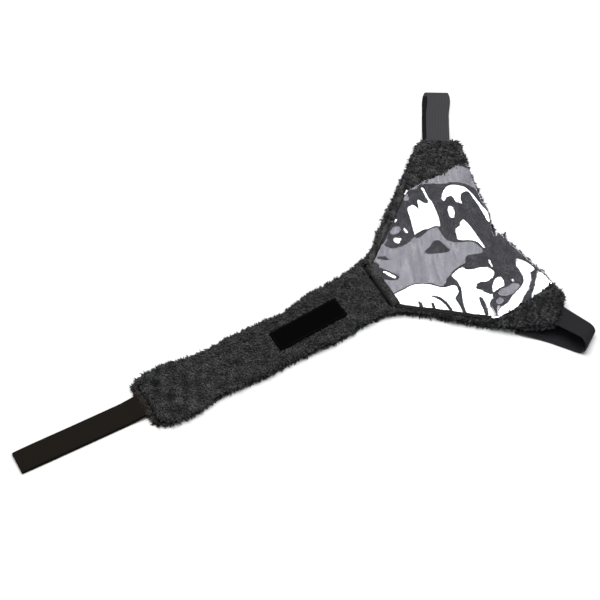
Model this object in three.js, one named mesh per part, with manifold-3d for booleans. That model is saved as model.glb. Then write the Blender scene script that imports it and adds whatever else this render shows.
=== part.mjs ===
// Bicycle sweat guard: a towelling strap that lies along a bicycle's top tube and widens
// into a triangular head with a clear phone pocket. Two webbing loops at the ears go round
// the handlebar, and a third at the tail goes round the seat post.
// Millimetres. +X runs from the tail to the pocket's mouth, +Y to the left ear, +Z up.
// The origin is on the strap's flat underside, below the label.
import * as THREE from "three";
import { mergeVertices } from "three/addons/utils/BufferGeometryUtils.js";
import Module from "manifold-3d";

const wasm = await Module();
wasm.setup();

// Towelling layers
const layerThickness = 4.6;
const seamGap = 0.3;
const edgeRoll = 3.6;
const rowStep = 11;
const columnCount = 14;

// Strap
const strapWidth = 60;
const strapTailX = -187;
const tailLap = 6;
const tailCornerRadius = 16;
const tailBulge = 4;
const strapWave = 0.8;
const strapWaveLength = 86;
const strapBow = 3.8;

// Head
const flareStartX = 88;
const flareEase = 24;
const pullStartX = 72;
const earEndX = 240;
const earEndY = 133;
const earWidth = 46;
const loopAngle = 59.5;
const cornerSoftness = 5;
const mouthDepth = 26;
const mouthBow = 1.5;

// The right ear is held up by its open loop, and its cap is bunched towards the head
const earLift = 10;
const liftStart = 155;
const liftLength = 90;
const bunchPull = 12.3;
const bunchSkew = 0.4;
const bunchNarrow = 0.12;
const bunchStart = 180;

// Pocket film
const filmThickness = 0.35;
const pocketHeight = 6.2;
const pocketNeckX = 87;
const pocketNeckWidth = 56;
const pocketWidth = 184;
const pocketFlareAngle = 37;
const filmHem = 2.5;
const filmHemGap = 0.45;
const filmFlat = 2;
const filmRise = 13;
const mouthSetback = 2.5;
const filmStep = 6.2;
const filmColumns = 30;

// Binding tape over the film's edge
const tapeWidth = 4.6;
const neckTapeWidth = 9;
const tapeThickness = 1.1;

// Label patch
const labelX = 0.5;
const labelTurn = 2.6;
const labelLength = 80;
const labelWidth = 24;
const labelThickness = 0.9;

// Elastic webbing
const webWidth = 25;
const webThickness = 1.5;
const webFoldGap = 0.35;
const webSewnLength = 20;
const tailLoopReach = 137;
const tailLoopTurn = 178.5;
const leftLoopReach = 67.5;
const leftLoopSlip = 4.5;
const rightLoopReach = 28;
const rightLoopRadius = 7.5;
const rightLoopSlip = 16;
const rightReturnTurn = 12;
const rightReturnLength = 72;

// Wrinkles of the film: x, y, direction in degrees, length, width and height
const filmWrinkles = [
  [150, 8, 62, 70, 11, 1.6],
  [128, -22, 28, 46, 9, -1.1],
  [176, 44, 78, 60, 12, 1.5],
  [205, 18, 68, 90, 10, -1.3],
  [222, -8, 80, 80, 12, 1.4],
  [188, -30, 48, 56, 11, -1.4],
  [214, -62, 22, 60, 10, 1.5],
  [166, -52, 18, 58, 9, 1.2],
  [140, 40, 40, 40, 10, -0.6],
  [226, 58, 84, 44, 10, 1.2],
  [238, -44, 70, 40, 9, -1.1],
];

// Folds of the right ear's cap: x, y, direction in degrees, length, width and height
const earFolds = [
  [232, -108, -14, 52, 8, 2.2],
  [214, -122, -30, 44, 7, 1.8],
];

const radians = Math.PI / 180;
const clamp01 = (value) => Math.min(1, Math.max(0, value));
const smooth = (value) => clamp01(value) ** 2 * (3 - 2 * clamp01(value));

// Values at the corners of the head
const ear = earCorners();
const headEndX = ear.front.x + 1;
const headHalf = ear.front.y - cornerSoftness / 2;
const earReach = earEndX * Math.cos(loopAngle * radians) + earEndY * Math.sin(loopAngle * radians);
const pocketMouthX = headEndX - mouthSetback;
const backTop = layerThickness;
const frontLow = backTop + seamGap;
const seamMiddle = backTop + seamGap / 2;

// The ear's two corners: its end is cut square to the loop
function earCorners() {
  const across = new THREE.Vector2(Math.sin(loopAngle * radians), -Math.cos(loopAngle * radians));
  const middle = new THREE.Vector2(earEndX, earEndY);
  return {
    rear: middle.clone().addScaledVector(across, -earWidth / 2),
    front: middle.clone().addScaledVector(across, earWidth / 2),
  };
}

// A straight run that starts in a soft bend
function easedRun(distance, ease) {
  if (distance >= ease) {
    return distance;
  }
  return Math.max(0, distance + ease) ** 2 / (4 * ease);
}

// Half the width of the sewn outline at a station along the strap, with a sharp ear corner
function sharpHalfWidth(x) {
  const strap = strapWidth / 2;
  const rise = (ear.rear.y - strap) / (ear.rear.x - flareStartX);
  const side = strap + easedRun(x - flareStartX, flareEase) * rise;
  const end = ear.rear.y - (x - ear.rear.x) / Math.tan(loopAngle * radians);
  return Math.min(side, end);
}

// The same with its corners eased by averaging, and with the strap's soft waves
function halfWidth(x) {
  let sum = 0;
  for (let i = -4; i <= 4; i += 1) {
    sum += sharpHalfWidth(x + (i / 4) * cornerSoftness);
  }
  const fade = smooth((pullStartX - x) / 60) * smooth((x - strapTailX) / 40);
  const wave = fade * strapWave * Math.sin((x / strapWaveLength) * 2 * Math.PI);
  return sum / 9 + wave + tailBulge * smooth((strapTailX + 69 - x) / 38);
}

// A round corner that narrows the half width near an end of a panel
function roundedEnd(half, fromEnd, radius) {
  if (fromEnd >= radius) {
    return half;
  }
  const inward = radius - Math.max(0, fromEnd);
  return half - (radius - Math.sqrt(Math.max(0, radius ** 2 - inward ** 2)));
}

// The concave mouth pulls the stations back towards the middle of the head
function placeX(station, y) {
  const pull = mouthDepth * (1 - clamp01(Math.abs(y) / headHalf) ** mouthBow);
  const share = clamp01((station - pullStartX) / (headEndX - pullStartX));
  return station - pull * share ** 2;
}

// As it lies, the strap is a little bowed and the right ear's cap is bunched
function layOut(x, y) {
  const bow = strapBow * smooth((75 - x) / 60) * smooth((x + 215) / 70);
  const cos = Math.cos(loopAngle * radians);
  const sin = Math.sin(loopAngle * radians);
  const along = x * cos - y * sin;
  const across = x * sin + y * cos - earEndX * sin + earEndY * cos;
  const share = y < 0 ? smooth((along - bunchStart) / (earReach - bunchStart)) : 0;
  const side = Math.min(1.5, Math.max(-1.5, (2 * across) / earWidth));
  const pull = bunchPull * share * (1 + bunchSkew * side);
  const narrow = bunchNarrow * share * across;
  return [x - pull * cos - narrow * sin, y + pull * sin - narrow * cos - bow];
}

// How far the right ear is raised at a point of the plan
function lift(x, y) {
  const along = x * Math.cos(loopAngle * radians) - y * Math.sin(loopAngle * radians);
  return earLift * smooth((along - liftStart) / liftLength);
}

// A ridge or furrow that fades along its length and across its width
function crease(x, y, [cx, cy, turn, length, width, height]) {
  const along = (x - cx) * Math.cos(turn * radians) + (y - cy) * Math.sin(turn * radians);
  const across = (y - cy) * Math.cos(turn * radians) - (x - cx) * Math.sin(turn * radians);
  return height * Math.exp(-((across / width) ** 2) - ((2 * along) / length) ** 2);
}

// A layer's thickness falls off in a quarter round over its rolled edge
function roll(distance) {
  const inward = 1 - clamp01(distance / edgeRoll);
  return Math.sqrt(Math.max(0, 1 - inward ** 2));
}

// Undersides and tops of the two layers
const backLow = (x, y, d) => lift(x, y) + 0.3 * layerThickness * (1 - roll(d));
const backHigh = (x, y, d) => lift(x, y) + layerThickness * (0.5 + 0.5 * roll(d));
const frontBottom = (x, y, d) => lift(x, y) + frontLow + 0.3 * layerThickness * (1 - roll(d));

function frontHigh(x, y, d) {
  const folds = earFolds.reduce((sum, fold) => sum + crease(x, y, fold), 0);
  const soft = 0.35 * Math.sin(x / 19) * Math.cos(y / 13);
  const rise = layerThickness * (0.5 + 0.5 * roll(d)) + (soft + folds) * roll(d / 2);
  return lift(x, y) + frontLow + rise;
}

// Stations from one end to the other, close together at the ends
function stations(from, to, step) {
  const ends = [0, 0.7, 2, edgeRoll];
  const inner = Math.max(2, Math.round((to - from - 2 * edgeRoll) / step));
  const middle = [];
  for (let i = 1; i < inner; i += 1) {
    middle.push(from + edgeRoll + ((to - from - 2 * edgeRoll) * i) / inner);
  }
  return [...ends.map((e) => from + e), ...middle, ...ends.map((e) => to - e).reverse()];
}

// Places across a station, close together at both edges
function columns(half, count) {
  const edges = [0, 0.7, 2];
  const inner = half - edgeRoll;
  const middle = [];
  for (let i = 0; i <= count; i += 1) {
    middle.push(-inner + (2 * inner * i) / count);
  }
  return [...edges.map((e) => e - half), ...middle, ...edges.map((e) => half - e).reverse()];
}

// A closed body between two height functions over rows of plan points [x, y, edge distance]
function layer(rows, low, high) {
  const across = rows[0].length;
  const count = rows.length * across;
  const points = [];
  for (const height of [low, high]) {
    for (const row of rows) {
      row.forEach(([x, y, d]) => points.push(...layOut(x, y), height(x, y, d)));
    }
  }
  const faces = [];
  const quad = (a, b, c, d) => faces.push(a, b, c, a, c, d);
  for (let r = 0; r + 1 < rows.length; r += 1) {
    for (let c = 0; c + 1 < across; c += 1) {
      const a = r * across + c;
      quad(a, a + 1, a + across + 1, a + across);
      quad(count + a, count + a + across, count + a + across + 1, count + a + 1);
    }
  }
  const rim = [];
  for (let c = 0; c < across; c += 1) rim.push(c);
  for (let r = 1; r < rows.length; r += 1) rim.push(r * across + across - 1);
  for (let c = across - 2; c >= 0; c -= 1) rim.push((rows.length - 1) * across + c);
  for (let r = rows.length - 2; r > 0; r -= 1) rim.push(r * across);
  rim.forEach((a, i) => {
    const b = rim[(i + 1) % rim.length];
    quad(b, a, count + a, count + b);
  });
  return geometryOf(points, faces);
}

function geometryOf(points, faces) {
  const geometry = new THREE.BufferGeometry();
  geometry.setAttribute("position", new THREE.Float32BufferAttribute(points, 3));
  geometry.setIndex(faces);
  return geometry;
}

// The plan of a towelling panel that starts at a given station
function panelRows(startX) {
  return stations(startX, headEndX, rowStep).map((station) => {
    const fromTail = station - startX;
    const fromMouth = headEndX - station;
    const wide = halfWidth(station);
    const slope = (halfWidth(station + 1) - halfWidth(station - 1)) / 2;
    const tailed = roundedEnd(wide, fromTail, tailCornerRadius);
    const half = roundedEnd(tailed, fromMouth, cornerSoftness);
    return columns(half, columnCount).map((y) => {
      const fromSide = (half - Math.abs(y)) / Math.hypot(1, slope);
      return [placeX(station, y), y, Math.min(fromSide, fromTail, fromMouth)];
    });
  });
}

// Half the width of the pocket's window at a station, and of the film, which is hemmed under
function pocketHalf(station) {
  const flare = (station - pocketNeckX) * Math.tan(pocketFlareAngle * radians);
  return Math.min(pocketNeckWidth / 2 + flare, pocketWidth / 2);
}

const filmHalf = (station) => pocketHalf(station) + filmHem;

// The plan of the film, whose edge distance counts from the window's edge inwards
function filmRows() {
  const from = pocketNeckX - filmHem;
  const inner = Math.round((pocketMouthX - from) / filmStep);
  const rows = [];
  for (let i = 0; i <= inner; i += 1) {
    const station = from + ((pocketMouthX - from) * i) / inner;
    const half = filmHalf(station);
    const row = [];
    for (let c = 0; c <= filmColumns; c += 1) {
      const y = -half + (2 * half * c) / filmColumns;
      const fromSide = (half - filmHem - Math.abs(y)) * Math.cos(pocketFlareAngle * radians);
      const fromNeck = station - pocketNeckX - neckTapeWidth + tapeWidth;
      row.push([placeX(station, y), y, Math.min(fromSide, fromNeck)]);
    }
    rows.push(row);
  }
  return rows;
}

// The film lies flat under the tape and stands up over the pocket inside it
function filmLow(x, y, d) {
  const up = smooth((d - tapeWidth - filmFlat) / filmRise);
  const wrinkles = filmWrinkles.reduce((sum, item) => sum + crease(x, y, item), 0);
  return lift(x, y) + backTop + filmHemGap + up * (pocketHeight + wrinkles);
}

// A band of tape on the hem, inside the window's edge
function tapeRows(line, width) {
  return line.map(([x, y, inX, inY]) => [
    [x, y, 0],
    [x + (inX * width) / 2, y + (inY * width) / 2, 0],
    [x + inX * width, y + inY * width, 0],
  ]);
}

const tapeLow = (x, y) => lift(x, y) + backTop + filmHemGap + filmThickness + seamGap;
const tapeHigh = (x, y) => tapeLow(x, y) + tapeThickness;

// Stations along the slanted edge of the window, from the neck to the ear cap
const slantRun = (pocketWidth - pocketNeckWidth) / 2 / Math.tan(pocketFlareAngle * radians);

function slantStations(from = pocketNeckX) {
  const run = pocketNeckX + slantRun - from;
  const steps = Math.max(2, Math.round(run / rowStep));
  return Array.from({ length: steps + 1 }, (_, i) => from + (run * i) / steps);
}

// A tape along that edge, a seam gap inside it
function sideTape(side) {
  const turn = pocketFlareAngle * radians;
  const line = slantStations(pocketNeckX + tapeWidth + 1.5).map((station) => {
    const y = (pocketHalf(station) - seamGap / Math.cos(turn)) * side;
    return [placeX(station, y), y, Math.sin(turn), -side * Math.cos(turn)];
  });
  return tapeRows(side > 0 ? line.reverse() : line, tapeWidth);
}

// The tape across the neck, between the strap and the film
function neckTape() {
  const half = pocketNeckWidth / 2 - seamGap;
  const line = [];
  for (let i = 0; i <= 6; i += 1) {
    const y = half - (2 * half * i) / 6;
    line.push([placeX(pocketNeckX, y) + seamGap, y, 1, 0]);
  }
  return tapeRows(line, neckTapeWidth);
}

// A tall block over a plan outline, for cutting
function block(outline, low, high) {
  const shape = new THREE.Shape(outline.map(([x, y]) => new THREE.Vector2(...layOut(x, y))));
  return new THREE.ExtrudeGeometry(shape, { depth: high - low, bevelEnabled: false }).translate(0, 0, low);
}

// The outline of the window, open at the mouth
function windowOutline() {
  const half = slantStations().map((station) => {
    const y = pocketHalf(station);
    return [placeX(station, y), y];
  });
  for (let i = 1; i <= 8; i += 1) {
    const station = pocketNeckX + slantRun + ((headEndX - pocketNeckX - slantRun) * i) / 8;
    half.push([placeX(station, pocketWidth / 2), pocketWidth / 2]);
  }
  half.push([headEndX + 20, pocketWidth / 2]);
  return [...half.map(([x, y]) => [x, -y]), ...half.reverse()];
}

// Webbing along a path of stations {at, across}: a flat strip with square ends
function webbing(path, width, thickness) {
  const points = [];
  path.forEach((station, i) => {
    const before = path[Math.max(0, i - 1)].at;
    const after = path[Math.min(path.length - 1, i + 1)].at;
    const ahead = after.clone().sub(before).normalize();
    const up = new THREE.Vector3().crossVectors(ahead, station.across).normalize();
    for (const [side, rise] of [[-1, -1], [1, -1], [1, 1], [-1, 1]]) {
      const corner = station.at.clone();
      corner.addScaledVector(station.across, (side * width) / 2);
      corner.addScaledVector(up, (rise * thickness) / 2);
      points.push(corner.x, corner.y, corner.z);
    }
  });
  const faces = [0, 2, 1, 0, 3, 2];
  for (let i = 0; i + 1 < path.length; i += 1) {
    for (let k = 0; k < 4; k += 1) {
      const a = 4 * i + k;
      const b = 4 * i + ((k + 1) % 4);
      faces.push(a, b, b + 4, a, b + 4, a + 4);
    }
  }
  const last = 4 * (path.length - 1);
  faces.push(last, last + 1, last + 2, last, last + 2, last + 3);
  return geometryOf(points, faces);
}

// The flat loop's path: out along the upper run, round the fold and back below
function flatLoop(start, turn, reach, slip) {
  const along = new THREE.Vector3(Math.cos(turn * radians), Math.sin(turn * radians), 0);
  const across = new THREE.Vector3(Math.sin(turn * radians), -Math.cos(turn * radians), 0);
  const rest = webThickness / 2 + 0.05;
  const apart = webThickness + webFoldGap;
  const upper = (s) => seamMiddle + apart / 2 - (seamMiddle - apart / 2 - rest) * smooth(s / 26);
  const lower = (s) => upper(s) - apart;
  const place = (s, z, shift) => ({
    at: start.clone().addScaledVector(along, s).addScaledVector(across, shift).setZ(z),
    across,
  });
  const outward = [-webSewnLength, -8, 0, 5, 9, 13, 17, 21, 26, reach / 2, reach - 3];
  const path = outward.map((s) => place(s, upper(s), 0));
  for (let i = 1; i < 8; i += 1) {
    const a = (i / 8) * Math.PI;
    const z = rest + apart / 2 + (apart / 2) * Math.cos(a);
    path.push(place(reach - 3 + (apart / 2) * Math.sin(a) * 1.6, z, (-slip * i) / 16));
  }
  outward.reverse().forEach((s) => path.push(place(s, lower(s), -slip * (0.5 + 0.5 * smooth((reach - s) / 40)))));
  return path;
}

// The open loop's path: out of the raised ear, round in the air and back below the ear
function openLoop() {
  const turn = -loopAngle * radians;
  const along = new THREE.Vector3(Math.cos(turn), Math.sin(turn), 0);
  const across = new THREE.Vector3(Math.sin(turn), -Math.cos(turn), 0);
  const back = turn + rightReturnTurn * radians;
  const returning = new THREE.Vector3(-Math.cos(back), -Math.sin(back), 0);
  const returnAcross = new THREE.Vector3(Math.sin(back), -Math.cos(back), 0);
  const start = new THREE.Vector3(earEndX, -earEndY, 0);
  const path = [];
  const laid = (at, z) => new THREE.Vector3(...layOut(at.x, at.y), z);
  const push = (at, z, width) => path.push({ at: laid(at, z), across: width });
  const out = (s, slip) => start.clone().addScaledVector(along, s).addScaledVector(across, slip * rightLoopSlip);
  const seamZ = (at) => lift(at.x, at.y) + seamMiddle;
  for (const s of [-webSewnLength, -13, -6, 0]) {
    const at = out(s, 0.35);
    push(at, seamZ(at), across);
  }
  const rest = webThickness / 2 + 0.05;
  const top = rest + 2 * rightLoopRadius;
  const exit = seamZ(start);
  for (const share of [0.25, 0.5, 0.75, 1]) {
    push(out(rightLoopReach * share, 0.35 + 0.2 * share), exit + (top - exit) * smooth(share), across);
  }
  for (let i = 1; i < 9; i += 1) {
    const a = (i / 9) * Math.PI;
    const at = out(rightLoopReach + rightLoopRadius * Math.sin(a), 0.55 + (0.5 * i) / 9);
    const width = across.clone().lerp(returnAcross, i / 9).normalize();
    push(at, rest + rightLoopRadius * (1 + Math.cos(a)), width);
  }
  const turned = out(rightLoopReach, 1.05);
  const steps = Math.round(rightReturnLength / rowStep);
  for (let i = 0; i <= steps; i += 1) {
    const at = turned.clone().addScaledVector(returning, (rightReturnLength * i) / steps);
    const under = lift(at.x, at.y) - seamGap - webThickness / 2 - 0.5;
    const shut = smooth((i / steps - 0.6) / 0.4);
    push(at, rest + Math.max(0, under - rest) * shut, returnAcross);
  }
  return path;
}

function solidOf(geometry) {
  const bare = geometry.index ? geometry.toNonIndexed() : geometry.clone();
  bare.deleteAttribute("normal");
  bare.deleteAttribute("uv");
  const merged = mergeVertices(bare, 1e-4);
  const mesh = new wasm.Mesh({
    numProp: 3,
    vertProperties: new Float32Array(merged.attributes.position.array),
    triVerts: new Uint32Array(merged.index.array),
  });
  return new wasm.Manifold(mesh);
}

function geometryOfSolid(solid) {
  const mesh = solid.getMesh();
  return geometryOf(Array.from(mesh.vertProperties), Array.from(mesh.triVerts));
}

// A geometry with others cut out of it
function cut(geometry, cutters) {
  const solid = cutters.reduce((left, cutter) => left.subtract(solidOf(cutter)), solidOf(geometry));
  return geometryOfSolid(solid);
}

function mesh(name, geometry, color, roughness, extra = {}) {
  const material = new THREE.MeshStandardMaterial({ color, roughness, metalness: 0, ...extra });
  geometry.computeVertexNormals();
  const piece = new THREE.Mesh(geometry, material);
  piece.name = name;
  return piece;
}

// Paths of the three webbing loops, and the pockets that they leave in the sewn layers
const tailStart = new THREE.Vector3(...layOut(strapTailX, 0), 0);
const tailPath = flatLoop(tailStart, tailLoopTurn, tailLoopReach + tailLap, 0.8);
const leftStart = new THREE.Vector3(earEndX, earEndY, 0);
const leftPath = flatLoop(leftStart, loopAngle, leftLoopReach, leftLoopSlip);
const rightPath = openLoop();
const pathCutters = [tailPath, leftPath, rightPath].flatMap((path) =>
  [path.slice(0, 9), path.slice(-9)].map((run) =>
    webbing(run, webWidth + 2 * seamGap, webThickness + 2 * seamGap),
  ),
);

function backPanel() {
  return cut(layer(panelRows(strapTailX - tailLap), backLow, backHigh), pathCutters);
}

function frontPanel() {
  const whole = layer(panelRows(strapTailX), frontBottom, frontHigh);
  const window = block(windowOutline(), -5, 60);
  return cut(whole, [window, hemRecess(), ...pathCutters]);
}

// The film's hem lies in a shallow recess under the front panel
function hemRecess() {
  const rows = filmRows().map((row) => row.map(([x, y, d]) => [x, y, d]));
  const low = (x, y) => lift(x, y) + backTop - 0.2;
  const high = (x, y) => lift(x, y) + backTop + filmHemGap + filmThickness + seamGap;
  return layer(grown(rows, seamGap), low, high);
}

// The same plan, a little larger at its edge
function grown(rows, margin) {
  const last = rows[0].length - 1;
  return rows.map((row, r) =>
    row.map(([x, y, d], c) => {
      const outX = r === 0 ? -margin : r === rows.length - 1 ? 20 : 0;
      const outY = c === 0 ? -margin * 1.3 : c === last ? margin * 1.3 : 0;
      return [x + outX, y + outY, d];
    }),
  );
}

function labelPatch() {
  const rows = [];
  for (let i = 0; i <= 8; i += 1) {
    const along = -labelLength / 2 + (labelLength * i) / 8;
    const row = [-1, -0.5, 0, 0.5, 1].map((side) => {
      const across = (side * labelWidth) / 2;
      const x = along * Math.cos(labelTurn * radians) - across * Math.sin(labelTurn * radians);
      const y = along * Math.sin(labelTurn * radians) + across * Math.cos(labelTurn * radians);
      return [labelX + x, y, 100];
    });
    rows.push(row);
  }
  const low = (x, y, d) => frontHigh(x, y, d) + seamGap;
  return layer(rows, low, (x, y, d) => low(x, y, d) + labelThickness);
}

const filmHigh = (x, y, d) => filmLow(x, y, d) + filmThickness;
const clear = { transparent: true, opacity: 0.35 };

const sweatGuard = new THREE.Group();
sweatGuard.add(
  mesh("back_panel", backPanel(), 0x2e2f31, 0.95),
  mesh("front_panel", frontPanel(), 0x343538, 0.95),
  mesh("pocket_film", layer(filmRows(), filmLow, filmHigh), 0xd8dade, 0.08, clear),
  mesh("neck_binding", layer(neckTape(), tapeLow, tapeHigh), 0x242426, 0.8),
  mesh("left_side_binding", layer(sideTape(1), tapeLow, tapeHigh), 0x242426, 0.8),
  mesh("right_side_binding", layer(sideTape(-1), tapeLow, tapeHigh), 0x242426, 0.8),
  mesh("label_patch", labelPatch(), 0x050505, 0.6),
  mesh("tail_elastic", webbing(tailPath, webWidth, webThickness), 0x28241f, 0.75),
  mesh("left_handlebar_elastic", webbing(leftPath, webWidth, webThickness), 0x464448, 0.7),
  mesh("right_handlebar_elastic", webbing(rightPath, webWidth, webThickness), 0x303034, 0.7),
);

export default sweatGuard;
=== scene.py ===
# %% [markdown]
# # A bicycle sweat guard in Blender
# The sweat guard is a towelling strap that lies along a bicycle's top tube. It widens into a
# triangular head with a clear phone pocket, and elastic loops hold it on the handlebar and the
# seat post. The solids come in as a fixed frame. This lesson gives each of them its real
# surface: pile on the towelling, wrinkles in the vinyl, ribs in the webbing, and stitches.

# %% Load the frame
import math

import bpy
import numpy as np
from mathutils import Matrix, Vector


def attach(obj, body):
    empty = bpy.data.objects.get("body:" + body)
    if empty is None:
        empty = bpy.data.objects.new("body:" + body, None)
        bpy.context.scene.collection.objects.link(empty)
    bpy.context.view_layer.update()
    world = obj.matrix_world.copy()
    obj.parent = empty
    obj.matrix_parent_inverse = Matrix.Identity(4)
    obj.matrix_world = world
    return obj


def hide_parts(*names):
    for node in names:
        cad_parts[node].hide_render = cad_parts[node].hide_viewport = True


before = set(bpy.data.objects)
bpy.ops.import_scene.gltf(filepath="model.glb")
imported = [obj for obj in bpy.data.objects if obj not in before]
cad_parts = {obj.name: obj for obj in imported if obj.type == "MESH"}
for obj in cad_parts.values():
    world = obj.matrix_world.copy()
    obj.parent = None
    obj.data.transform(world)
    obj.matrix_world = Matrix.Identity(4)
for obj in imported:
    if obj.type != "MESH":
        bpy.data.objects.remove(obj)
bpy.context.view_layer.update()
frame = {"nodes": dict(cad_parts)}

MM = 0.001
print("solids:", ", ".join(frame["nodes"]))

# %% [markdown]
# ## Sizes
# The solids were drawn from a few named sizes. The soft pieces made here follow the same
# sizes, in millimetres, so that they land on the solids that they stand for.

# %% Sizes of the solids, in millimetres
LAYER = 4.6
SEAM_GAP = 0.3
PULL_START_X = 72.0
EAR_END = np.array([240.0, 133.0])
EAR_WIDTH = 46.0
LOOP_ANGLE = math.radians(59.5)
CORNER_SOFTNESS = 5.0
MOUTH_DEPTH = 26.0
MOUTH_BOW = 1.5
EAR_LIFT, LIFT_START, LIFT_LENGTH = 10.0, 155.0, 90.0
BUNCH_PULL, BUNCH_SKEW, BUNCH_NARROW, BUNCH_START = 12.3, 0.4, 0.12, 180.0
BUNCH_LIMIT = 1.5
STRAP_BOW, STRAP_TAIL_X = 3.8, -187.0
BOW_AT_HEAD, BOW_AT_TAIL = (75.0, 15.0), (-215.0, -145.0)
POCKET_NECK_X, POCKET_NECK_WIDTH, POCKET_WIDTH = 87.0, 56.0, 184.0
POCKET_FLARE = math.radians(37)
FILM_HEM, FILM_HEM_GAP, FILM_THICKNESS = 2.5, 0.45, 0.35
MOUTH_SETBACK = 2.5
TAPE_WIDTH, NECK_TAPE_WIDTH, TAPE_THICKNESS = 4.6, 9.0, 1.1
LABEL_X, LABEL_LENGTH, LABEL_WIDTH = 0.5, 80.0, 24.0
LABEL_TURN = math.radians(2.6)
WEB_WIDTH, WEB_THICKNESS = 25.0, 1.5

FRONT_CORNER = EAR_END + EAR_WIDTH / 2 * np.array([math.sin(LOOP_ANGLE), -math.cos(LOOP_ANGLE)])
HEAD_END_X = FRONT_CORNER[0] + 1
HEAD_HALF = FRONT_CORNER[1] - CORNER_SOFTNESS / 2
POCKET_MOUTH_X = HEAD_END_X - MOUTH_SETBACK
print("head ends at x", round(HEAD_END_X, 1), "mm")


# %% The plan's bends
def smooth(t):
    t = np.clip(t, 0, 1)
    return t * t * (3 - 2 * t)


def ramp(value, start, end):
    """Rises gently from 0 at the start to 1 at the end. The end may be the smaller value."""
    return smooth((value - start) / (end - start))


def mouth_pull(station, y):
    """How far the concave mouth pulls a station back towards the strap."""
    bow = 1 - np.clip(np.abs(y) / HEAD_HALF, 0, 1) ** MOUTH_BOW
    share = np.clip((station - PULL_START_X) / (HEAD_END_X - PULL_START_X), 0, 1)
    return MOUTH_DEPTH * bow * share**2


def lift(x, y):
    """The right ear is held up by its open loop."""
    along = x * math.cos(LOOP_ANGLE) - y * math.sin(LOOP_ANGLE)
    return EAR_LIFT * ramp(along, LIFT_START, LIFT_START + LIFT_LENGTH)


def lay_out(x, y):
    """As it lies, the strap is a little bowed and the right ear's cap is bunched."""
    cos, sin = math.cos(LOOP_ANGLE), math.sin(LOOP_ANGLE)
    bow = STRAP_BOW * ramp(x, *BOW_AT_HEAD) * ramp(x, *BOW_AT_TAIL)
    along = x * cos - y * sin
    across = x * sin + y * cos - EAR_END[0] * sin + EAR_END[1] * cos
    reach = EAR_END[0] * cos + EAR_END[1] * sin
    share = np.where(np.asarray(y) < 0, ramp(along, BUNCH_START, reach), 0)
    over_cap = np.clip(2 * across / EAR_WIDTH, -BUNCH_LIMIT, BUNCH_LIMIT)
    pull = BUNCH_PULL * share * (1 + BUNCH_SKEW * over_cap)
    narrow = BUNCH_NARROW * share * across
    return x - pull * cos - narrow * sin, y + pull * sin - narrow * cos - bow


# The bends have no plain inverse, so the place is found in a few rounds
UNDO_ROUNDS, UNDO_STEP = 12, 0.8


def flat_plan(x, y):
    """The place that a point had before it was laid out."""
    flat_x, flat_y = np.array(x, float), np.array(y, float)
    for _ in range(UNDO_ROUNDS):
        laid_x, laid_y = lay_out(flat_x, flat_y)
        flat_x += (x - laid_x) * UNDO_STEP
        flat_y += (y - laid_y) * UNDO_STEP
    return flat_x, flat_y


# %% The pocket's outline in the flat plan
def slanted_half(station):
    """Half the pocket's width, between its two slanted edges."""
    return POCKET_NECK_WIDTH / 2 + (station - POCKET_NECK_X) * math.tan(POCKET_FLARE)


def pocket_half(station):
    return np.minimum(slanted_half(station), POCKET_WIDTH / 2)


STATION_ROUNDS = 14


def inside_tape(x, y):
    """How far a point of the flat plan lies inside the tape and the ear caps."""
    station = np.array(x, float)
    for _ in range(STATION_ROUNDS):
        station = x + mouth_pull(station, y)
    slant = slanted_half(station) - np.abs(y)
    from_side = slant * math.cos(POCKET_FLARE) - TAPE_WIDTH - SEAM_GAP
    from_neck = station - POCKET_NECK_X - NECK_TAPE_WIDTH - SEAM_GAP
    return np.minimum(np.minimum(from_side, from_neck), POCKET_WIDTH / 2 - np.abs(y)), station


# %% The uneven mouth
# The film and the cloth draw back in one place, and beside it some of the cloth stands out from
# under the film. The first list holds places along the mouth and the second the pull there.
MOUTH_REACH = 24.0
NOTCH_Y, NOTCH_PULL = [-7, -3.5, 8, 22], [0, 7.5, 4, 0]
HIDDEN_Y = [-82, -72, -40, -8, -5, -3, 8, 22, 27, 60, 80]
HIDDEN_PULL = [0, -2.2, -2.6, -2.4, -4.4, 5.5, 2.6, 0, -0.8, -0.8, 0]


def drawn_back(station, y, places, pulls):
    near_mouth = ramp(station, POCKET_MOUTH_X - MOUTH_REACH, POCKET_MOUTH_X)
    return np.interp(y, places, pulls) * near_mouth


# %% [markdown]
# ## Camera
# The photograph looks down on the product from the side of its right edge. The tail's and the
# ears' places in it give the camera: 58 degrees above the ground, 29.5 degrees round from the
# strap's square view, and a long lens from about 2.4 m. A constraint could aim the camera, but
# two angles and a distance say the same in plain numbers.


# %% Helpers for lamps and cameras
def add_object(name, data):
    made = bpy.data.objects.new(name, data)
    bpy.context.collection.objects.link(made)
    return made


def direction_at(turn, elevation=0.0):
    """A direction of length 1, turned round the upright and raised over the ground."""
    level = Vector((math.sin(turn), math.cos(turn), 0))
    return level * math.cos(elevation) + Vector((0, 0, math.sin(elevation)))


# %% Camera
SENSOR_WIDTH = 36
CAMERA_ELEVATION = math.radians(58)
CAMERA_TURN = math.radians(29.5)
CAMERA_DISTANCE = 2.381
AIM = Vector((0.0109, 0.0314, 0.0))
LENS_PER_SENSOR = 3.822

camera_data = bpy.data.cameras.new("camera")
camera_data.sensor_width = SENSOR_WIDTH
camera_data.lens = SENSOR_WIDTH * LENS_PER_SENSOR
camera = add_object("camera", camera_data)
flat_away = direction_at(CAMERA_TURN)
look = direction_at(CAMERA_TURN, -CAMERA_ELEVATION)
camera.location = AIM - look * CAMERA_DISTANCE
camera.rotation_euler = (math.pi / 2 - CAMERA_ELEVATION, 0, -CAMERA_TURN)
bpy.context.scene.camera = camera
print("camera at", [round(v, 3) for v in camera.location])

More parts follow.
